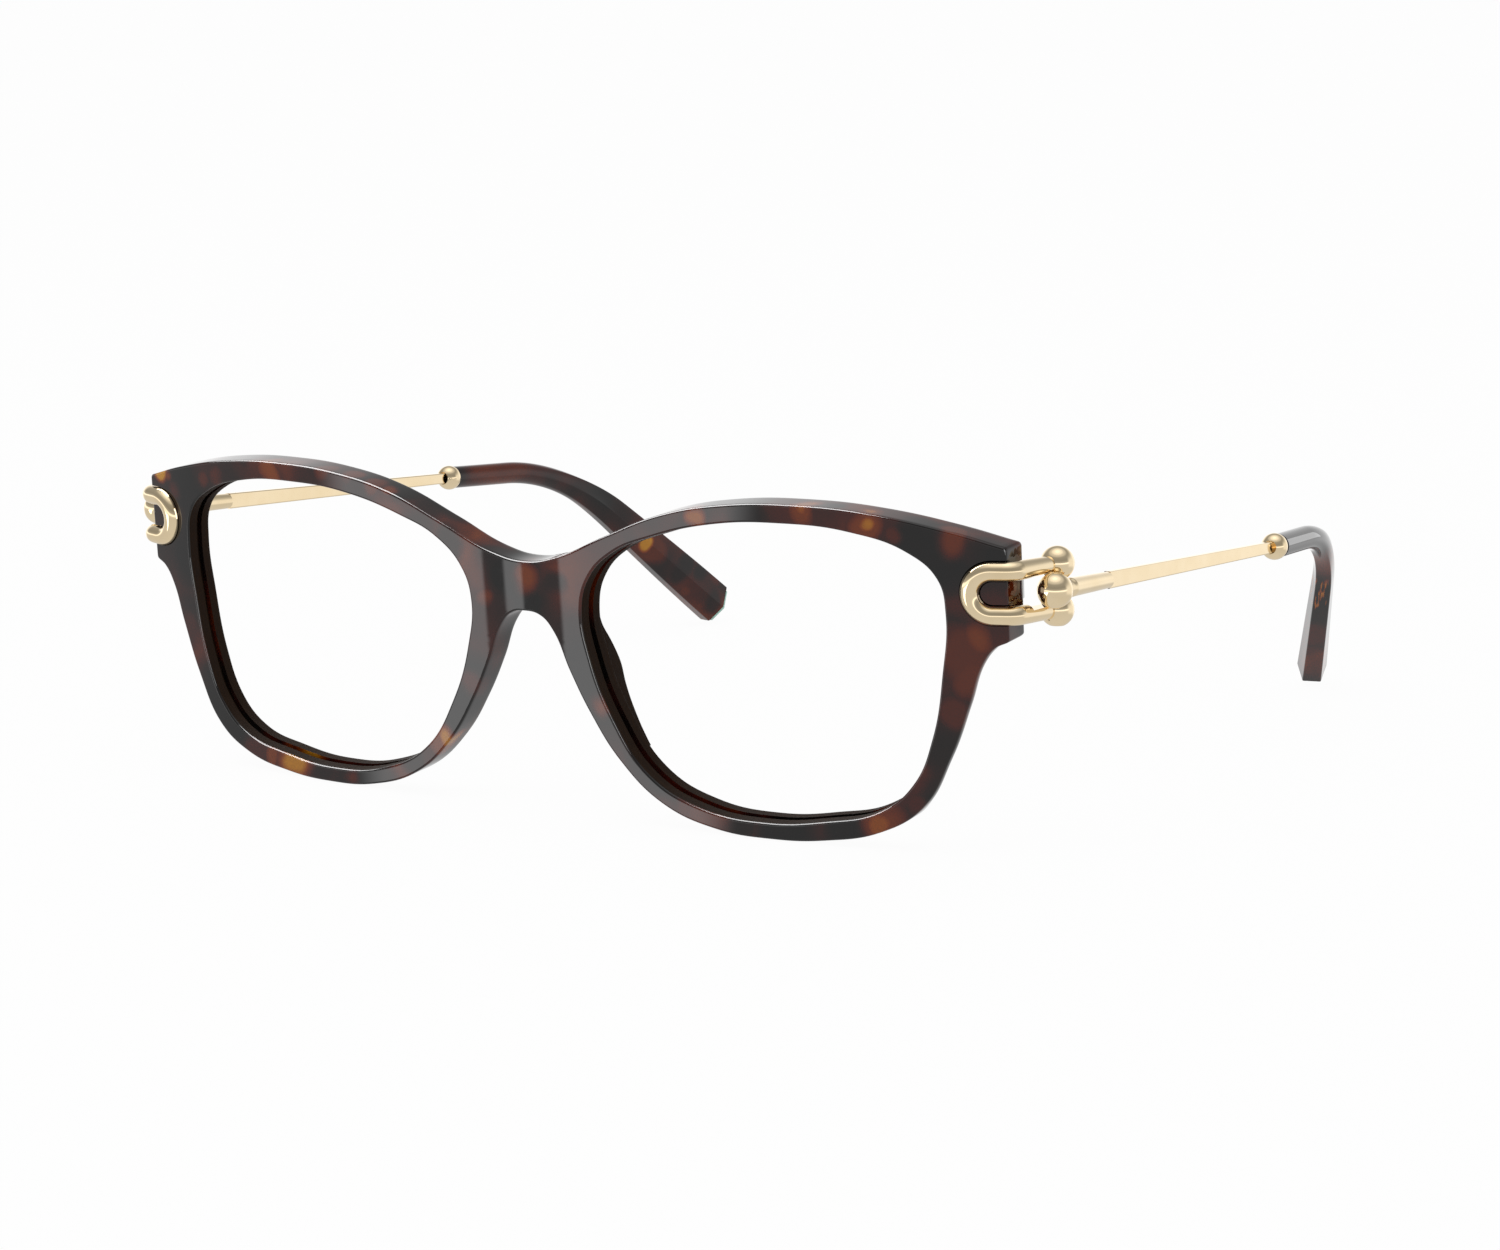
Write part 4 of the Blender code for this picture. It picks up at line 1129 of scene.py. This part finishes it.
def tip_meshes(side):
    """The tip and the inlay on its end."""
    _, ferrule, direction = temple_line(side)
    path = tip_path(side, ferrule + direction * (FERRULE_CUT + TIP_JOINT_GAP))
    frames = path_frames(path, side)
    lengths = lengths_along(path)
    rings = []
    for frame_at, length in zip(frames, lengths):
        share = length / lengths[-1]
        blend = eased(share, TIP_FLATTENS)
        half_width = between((TIP_START_RADIUS, TIP_HALF_WIDTH), eased(share, TIP_WIDENS))
        edge_half = between(TIP_EDGE_HALF, share)
        ridge_half = max(between(TIP_RIDGE_HALF, share), edge_half)
        rings.append(tip_section(frame_at, blend, half_width, edge_half, ridge_half))
    last = frames[-1]
    rings[-1] = cut_end(rings[-1], last, TIP_HALF_WIDTH)
    small = [INLAY_SHARE * half for half in (TIP_HALF_WIDTH, TIP_EDGE_HALF[1], TIP_RIDGE_HALF[1])]
    base = tip_section(last, 1, *small)
    inlay = [cut_end(base, last, TIP_HALF_WIDTH, shift) for shift in (INLAY_GAP, INLAY_GAP + INLAY_THICKNESS)]
    return loft(rings), loft(inlay)


# Assembly

def add_piece(name, mesh, space, finish, body, slot, *nodes):
    """Put a finished mesh in its place, let it ride on its body and stand for its nodes."""
    mesh.transform(space)
    mesh.materials.clear()
    for layer in finish if isinstance(finish, list) else [finish]:
        mesh.materials.append(layer)
    mesh.shade_smooth()
    mesh.set_sharp_from_angle(angle=CREASE)
    rough = add_object("holder", mesh)
    modifier = rough.modifiers.new("even_normals", "WEIGHTED_NORMAL")
    modifier.keep_sharp = True
    modifier.weight = FACE_AREA_WEIGHT
    even = mesh_of(rough)
    even.name = name
    piece = add_object(name, even)
    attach(piece, body)
    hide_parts(*nodes)
    return piece


def build_front(finishes):
    gold = finishes["gold"]
    layers = [finishes["shell"], finishes["lens_wall"]]
    front = add_piece("front_rims", front_mesh(gold), FRONT_SPACE, layers, "front", "acetate", "front_frame")
    smooth_front_faces(front.data)
    shells = [front]
    for side, name in SIDES.items():
        pad = add_piece(
            f"bridge_pad_{name}", pad_mesh(side), FRONT_SPACE, layers, "front", "acetate", f"nose_pad_{name}")
        shells.append(pad)
        add_piece(
            f"hinge_shackle_{name}", shackle_mesh(side, gold), FRONT_SPACE, gold, "front", "gold_metal",
            f"shackle_{name}")
    for shell in shells:
        mark_lens_walls(shell.data)
    return shells


def build_screws(finishes):
    steel = finishes["steel"]
    heads = [place for side in SIDES for place in anchor_heads(side)]
    names = [f"anchor_screw_{row}_{name}" for name in SIDES.values() for row in ROWS]
    shank_length = FRONT_THICKNESS - ANCHOR_HEAD_SINK - ANCHOR_HEAD_HEIGHT - ANCHOR_REACH
    anchors = slotted_screws(heads, (math.radians(-90), 0, 0), {
        "Head Radius": ANCHOR_HEAD_RADIUS, "Head Height": ANCHOR_HEAD_HEIGHT,
        "Shank Radius": ANCHOR_RADIUS, "Shank Length": shank_length}, steel)
    add_piece("end_piece_screws", anchors, FRONT_SPACE, steel, "front", "screw_steel", *names)

    head_face = SCREW_HEAD_SEAT - RUNNING_GAP - SCREW_HEAD_HEIGHT
    places = [joint_place(side) / MM + Vector((0, 0, head_face)) for side in SIDES]
    pivots = slotted_screws(places, (math.radians(180), 0, 0), {
        "Head Radius": SCREW_HEAD_RADIUS, "Head Height": SCREW_HEAD_HEIGHT,
        "Shank Radius": SCREW_RADIUS, "Shank Length": SCREW_TIP - SCREW_HEAD_SEAT}, steel)
    names = [f"hinge_screw_{name}" for name in SIDES.values()]
    add_piece("pivot_screws", pivots, SCENE_SPACE, steel, "front", "screw_steel", *names)
    for name in SIDES.values():
        for row in ROWS:
            washer = frame["nodes"][f"hinge_washer_{row}_{name}"]
            washer.data.materials.clear()
            washer.data.materials.append(finishes["polymer"])


def build_temple(side, finishes):
    name = SIDES[side]
    body = f"temple_{name}"
    space = TEMPLE_SPACE[side]
    gold = finishes["gold"]
    for label, mesh, node in (
            ("ball_rod", rod_mesh(side, gold), "temple_rod"), ("flat_bar", bar_mesh(side), "temple_bar"),
            ("tip_ferrule", ferrule_mesh(side), "ferrule")):
        add_piece(f"{label}_{name}", mesh, space, gold, body, "gold_metal", f"{node}_{name}")
    tip, inlay = tip_meshes(side)
    shell = add_piece(
        f"ear_tip_{name}", tip, space, finishes["tip_shell"], body, "acetate", f"temple_tip_{name}")
    add_piece(f"end_inlay_{name}", inlay, space, finishes["mint"], body, "mint_inlay", f"tip_inlay_{name}")
    return shell


# Studio

FLOOR_SIZE = 8.0
FLOOR_DROP = 0.00005
FLOOR_GLOW = 0.96
FLOOR_COLOUR = (0.92, 0.92, 0.92, 1)
KEY_PLACE = (-0.15, -0.5, 0.85)
KEY_SIZE = 0.7
KEY_ENERGY = 2.2

# Brightness of the studio by elevation in degrees, and what it is divided by to fit a colour ramp
STUDIO_LEVELS = [
    (-90, 0.69), (-9, 0.66), (-3, 0.75), (0, 1.38), (4, 1.33), (9, 0.42), (22, 0.30), (40, 0.34), (56, 0.66),
    (70, 1.05), (86, 1.40),
]
LEVEL_DIVISOR = 2.0

# The white backdrop behind the object: brightness on its left and right, the elevations where it fades,
# and the parts of a direction, across and back, over which it turns and begins
BACKDROP_LEVELS = (1.15, 0.95)
BACKDROP_TURN = (0.2, 0.5)
BACKDROP_FOOT = (-24, -10)
BACKDROP_TOP = (40, 5)
BACKDROP_DEPTH = (0.1, 0.5)

# Soft boxes low in front: azimuth, softness and lean of the left and of the right edge, and brightness
SOFT_BOXES = [
    ((-45.9, 1.45, -0.33), (-37.38, 0.1, 0), 2.78), ((-36.42, 0.1, 0), (-35.62, 0.08, 0), 2.8),
    ((-33.93, 0.1, 0), (-23.1, 1.7, 0.71), 2.85),
]
BOX_LEAN_ELEVATION = -16
BOX_ELEVATIONS = (-30, -5)
BOX_ELEVATION_SOFTNESS = 3.0


def past_edge(tree, azimuth, elevation, place, softness, lean):
    """How far a direction lies to the right of a soft box's edge, which may lean: from 0 to 1."""
    climb = add_math(tree, "SUBTRACT", elevation, BOX_LEAN_ELEVATION)
    upright = add_math(tree, "SUBTRACT", azimuth, add_math(tree, "MULTIPLY", climb, lean))
    return map_range(tree, upright, place - softness, place + softness)


def studio_world():
    """A white studio: white for the camera, soft panels and a horizon for everything else."""
    world = bpy.data.worlds.new("studio")
    world.use_nodes = True
    tree = world.node_tree
    direction = tree.nodes.new("ShaderNodeTexCoord").outputs["Generated"]
    parts = add_node(tree, "ShaderNodeSeparateXYZ", Vector=direction).outputs
    ahead = add_math(tree, "MULTIPLY", parts["Y"], -1.0)
    azimuth = add_math(tree, "MULTIPLY", add_math(tree, "ARCTAN2", parts["X"], ahead), math.degrees(1))
    elevation = add_math(tree, "MULTIPLY", add_math(tree, "ARCSINE", parts["Z"]), math.degrees(1))
    stops = [((angle + 90) / 180, (level / LEVEL_DIVISOR,) * 3) for angle, level in STUDIO_LEVELS]
    level = colour_ramp(tree, map_range(tree, elevation, -90, 90, smooth=False), stops)
    light = add_math(tree, "MULTIPLY", level, LEVEL_DIVISOR)
    behind = map_range(tree, parts["Y"], *BACKDROP_DEPTH)
    for fade in (BACKDROP_FOOT, BACKDROP_TOP):
        behind = add_math(tree, "MULTIPLY", behind, map_range(tree, elevation, *fade))
    backdrop = map_range(tree, parts["X"], *BACKDROP_TURN, *BACKDROP_LEVELS)
    light = mix_values(tree, light, backdrop, behind)
    low, high = BOX_ELEVATIONS
    soft = BOX_ELEVATION_SOFTNESS
    upright = add_math(
        tree, "MULTIPLY", map_range(tree, elevation, low - soft, low + soft),
        map_range(tree, elevation, high + soft, high - soft))
    for left_edge, right_edge, brightness in SOFT_BOXES:
        past_left = past_edge(tree, azimuth, elevation, *left_edge)
        past_right = past_edge(tree, azimuth, elevation, *right_edge)
        inside = add_math(tree, "MULTIPLY", past_left, add_math(tree, "SUBTRACT", 1.0, past_right))
        light = mix_values(tree, light, brightness, add_math(tree, "MULTIPLY", inside, upright))
    camera_ray = tree.nodes.new("ShaderNodeLightPath").outputs["Is Camera Ray"]
    light = mix_values(tree, light, 1.0, camera_ray)
    feed_named(tree, tree.nodes["Background"], Strength=light, Color=(1, 1, 1, 1))
    bpy.context.scene.world = world


def add_floor():
    """A white floor that takes a faint shadow and that polished faces look past, into the studio."""
    work = bmesh.new()
    bmesh.ops.create_grid(work, x_segments=1, y_segments=1, size=FLOOR_SIZE / 2)
    mesh = bmesh_to_mesh(work)
    mesh.transform(Matrix.Translation((0, 0, -FLOOR_DROP)))
    material = bpy.data.materials.new("studio_floor")
    material.use_nodes = True
    tree = material.node_tree
    paint = add_node(tree, "ShaderNodeBsdfDiffuse", Color=FLOOR_COLOUR).outputs["BSDF"]
    glow = add_node(tree, "ShaderNodeEmission", Strength=1.0).outputs["Emission"]
    camera_ray = tree.nodes.new("ShaderNodeLightPath").outputs["Is Camera Ray"]
    share = add_math(tree, "MULTIPLY", camera_ray, FLOOR_GLOW)
    mixed = tree.nodes.new("ShaderNodeMixShader")
    for socket, value in zip(mixed.inputs, (share, paint, glow)):
        feed(tree, socket, value)
    tree.links.new(mixed.outputs["Shader"], tree.nodes["Material Output"].inputs["Surface"])
    mesh.materials.append(material)
    floor = add_object("studio_floor", mesh)
    floor.visible_glossy = False


def add_area_light(name, place, width, height, energy):
    """A flat light that faces the object."""
    lamp = bpy.data.lights.new(name, "AREA")
    lamp.shape = "RECTANGLE"
    lamp.size = width
    lamp.size_y = height
    lamp.energy = energy
    light = add_object(name, lamp)
    light.location = place
    light.rotation_euler = Vector(place).to_track_quat("Z", "Y").to_euler()
    return light


def add_key_light():
    """One large soft light above and in front, for gentle shading."""
    key = add_area_light("key_light", KEY_PLACE, KEY_SIZE, KEY_SIZE, KEY_ENERGY)
    key.visible_glossy = False


# Lights that only the polished acetate mirrors: azimuth, elevation, width and height in degrees, brightness,
# and the energy that gives one square metre the brightness 1
ACETATE_LIGHTS = {
    "upper_left": (-71, 57, 48, 48, 12.0), "right": (58, 12, 24, 40, 5.0), "behind": (163, 6, 18, 20, 0.8),
}
ENERGY_PER_AREA = 4


def add_acetate_lights(pieces):
    """Lights one metre away that draw bright lines along the acetate's rounded edges."""
    receivers = bpy.data.collections.new("acetate_pieces")
    for piece in pieces:
        receivers.objects.link(piece)
    for name, (azimuth, elevation, wide, high, brightness) in ACETATE_LIGHTS.items():
        swing = Matrix.Rotation(math.radians(azimuth), 3, "Z")
        place = swing @ Matrix.Rotation(math.radians(-elevation), 3, "X") @ Vector((0, -1, 0))
        width, height = (2 * math.tan(math.radians(angle / 2)) for angle in (wide, high))
        energy = ENERGY_PER_AREA * width * height * brightness
        light = add_area_light(name, place, width, height, energy)
        light.visible_diffuse = False
        light.light_linking.receiver_collection = receivers


def add_camera():
    right = Vector(CAMERA_RIGHT).normalized()
    up = Vector(CAMERA_UP)
    up = (up - right * up.dot(right)).normalized()
    turn = Matrix((right, up, right.cross(up))).transposed().to_4x4()
    camera = add_object("camera", bpy.data.cameras.new("camera"))
    camera.matrix_world = Matrix.Translation(ROOT_PLACE + Vector(CAMERA_PLACE) * MM) @ turn
    camera.data.sensor_fit = "HORIZONTAL"
    camera.data.sensor_width = CAMERA_SENSOR
    camera.data.lens = CAMERA_LENS
    camera.data.clip_start = CAMERA_NEAREST
    bpy.context.scene.camera = camera


TREES = {"bar": round_bar_tree(), "screws": slotted_screw_tree()}
FINISHES = {
    "shell": tortoiseshell("tortoiseshell", face_spots(WARM_SPOTS), face_spots(DARK_SPOTS)),
    "tip_shell": tortoiseshell(
        "tortoiseshell_tips", temple_spots(TIP_WARM_SPOTS), temple_spots(TIP_DARK_SPOTS),
        temple_spots(TIP_STREAK_SPOTS), TIP_CLOUD_SHIFT),
    # The unpolished walls that the lens cutter leaves: flat dark brown with fine tool lines
    "lens_wall": grained_finish(
        "cut_acetate", (6000, 1.0), [(0.35, (0.013, 0.0058, 0.0022)), (0.65, (0.020, 0.0092, 0.0038))],
        (0.55, 0.75), stretch=(0.1, 1, 0.1), IOR=1.5, Specular_IOR_Level=0.06),
    "gold": grained_finish(
        "polished_gold", (5200, 2.0), [(0.3, (0.92, 0.745, 0.48)), (0.7, (0.955, 0.785, 0.525))],
        (0.055, 0.08), tone=(240, 2.0), bump=(0.02, 0.00001), Metallic=1.0),
    "steel": grained_finish(
        "brushed_steel", (2600, 3.0), [(0.3, (0.46, 0.45, 0.43)), (0.7, (0.64, 0.63, 0.60))],
        (0.2, 0.34), stretch=(1, 1, 14), bump=(0.15, 0.00002), Metallic=1.0),
    "polymer": grained_finish(
        "pale_polymer", (3000, 4.0), [(0.35, (0.74, 0.72, 0.66)), (0.65, (0.86, 0.84, 0.79))],
        (0.35, 0.5), IOR=1.45),
    "mint": grained_finish(
        "mint_inlay", (700, 3.0), [(0.3, (0.44, 0.74, 0.63)), (0.7, (0.52, 0.80, 0.70))],
        (0.16, 0.26), IOR=1.5),
}
acetate_pieces = build_front(FINISHES)
build_screws(FINISHES)
for temple_side in SIDES:
    acetate_pieces.append(build_temple(temple_side, FINISHES))
studio_world()
add_floor()
add_key_light()
add_acetate_lights(acetate_pieces)
add_camera()
bpy.context.scene.view_settings.view_transform = "Standard"
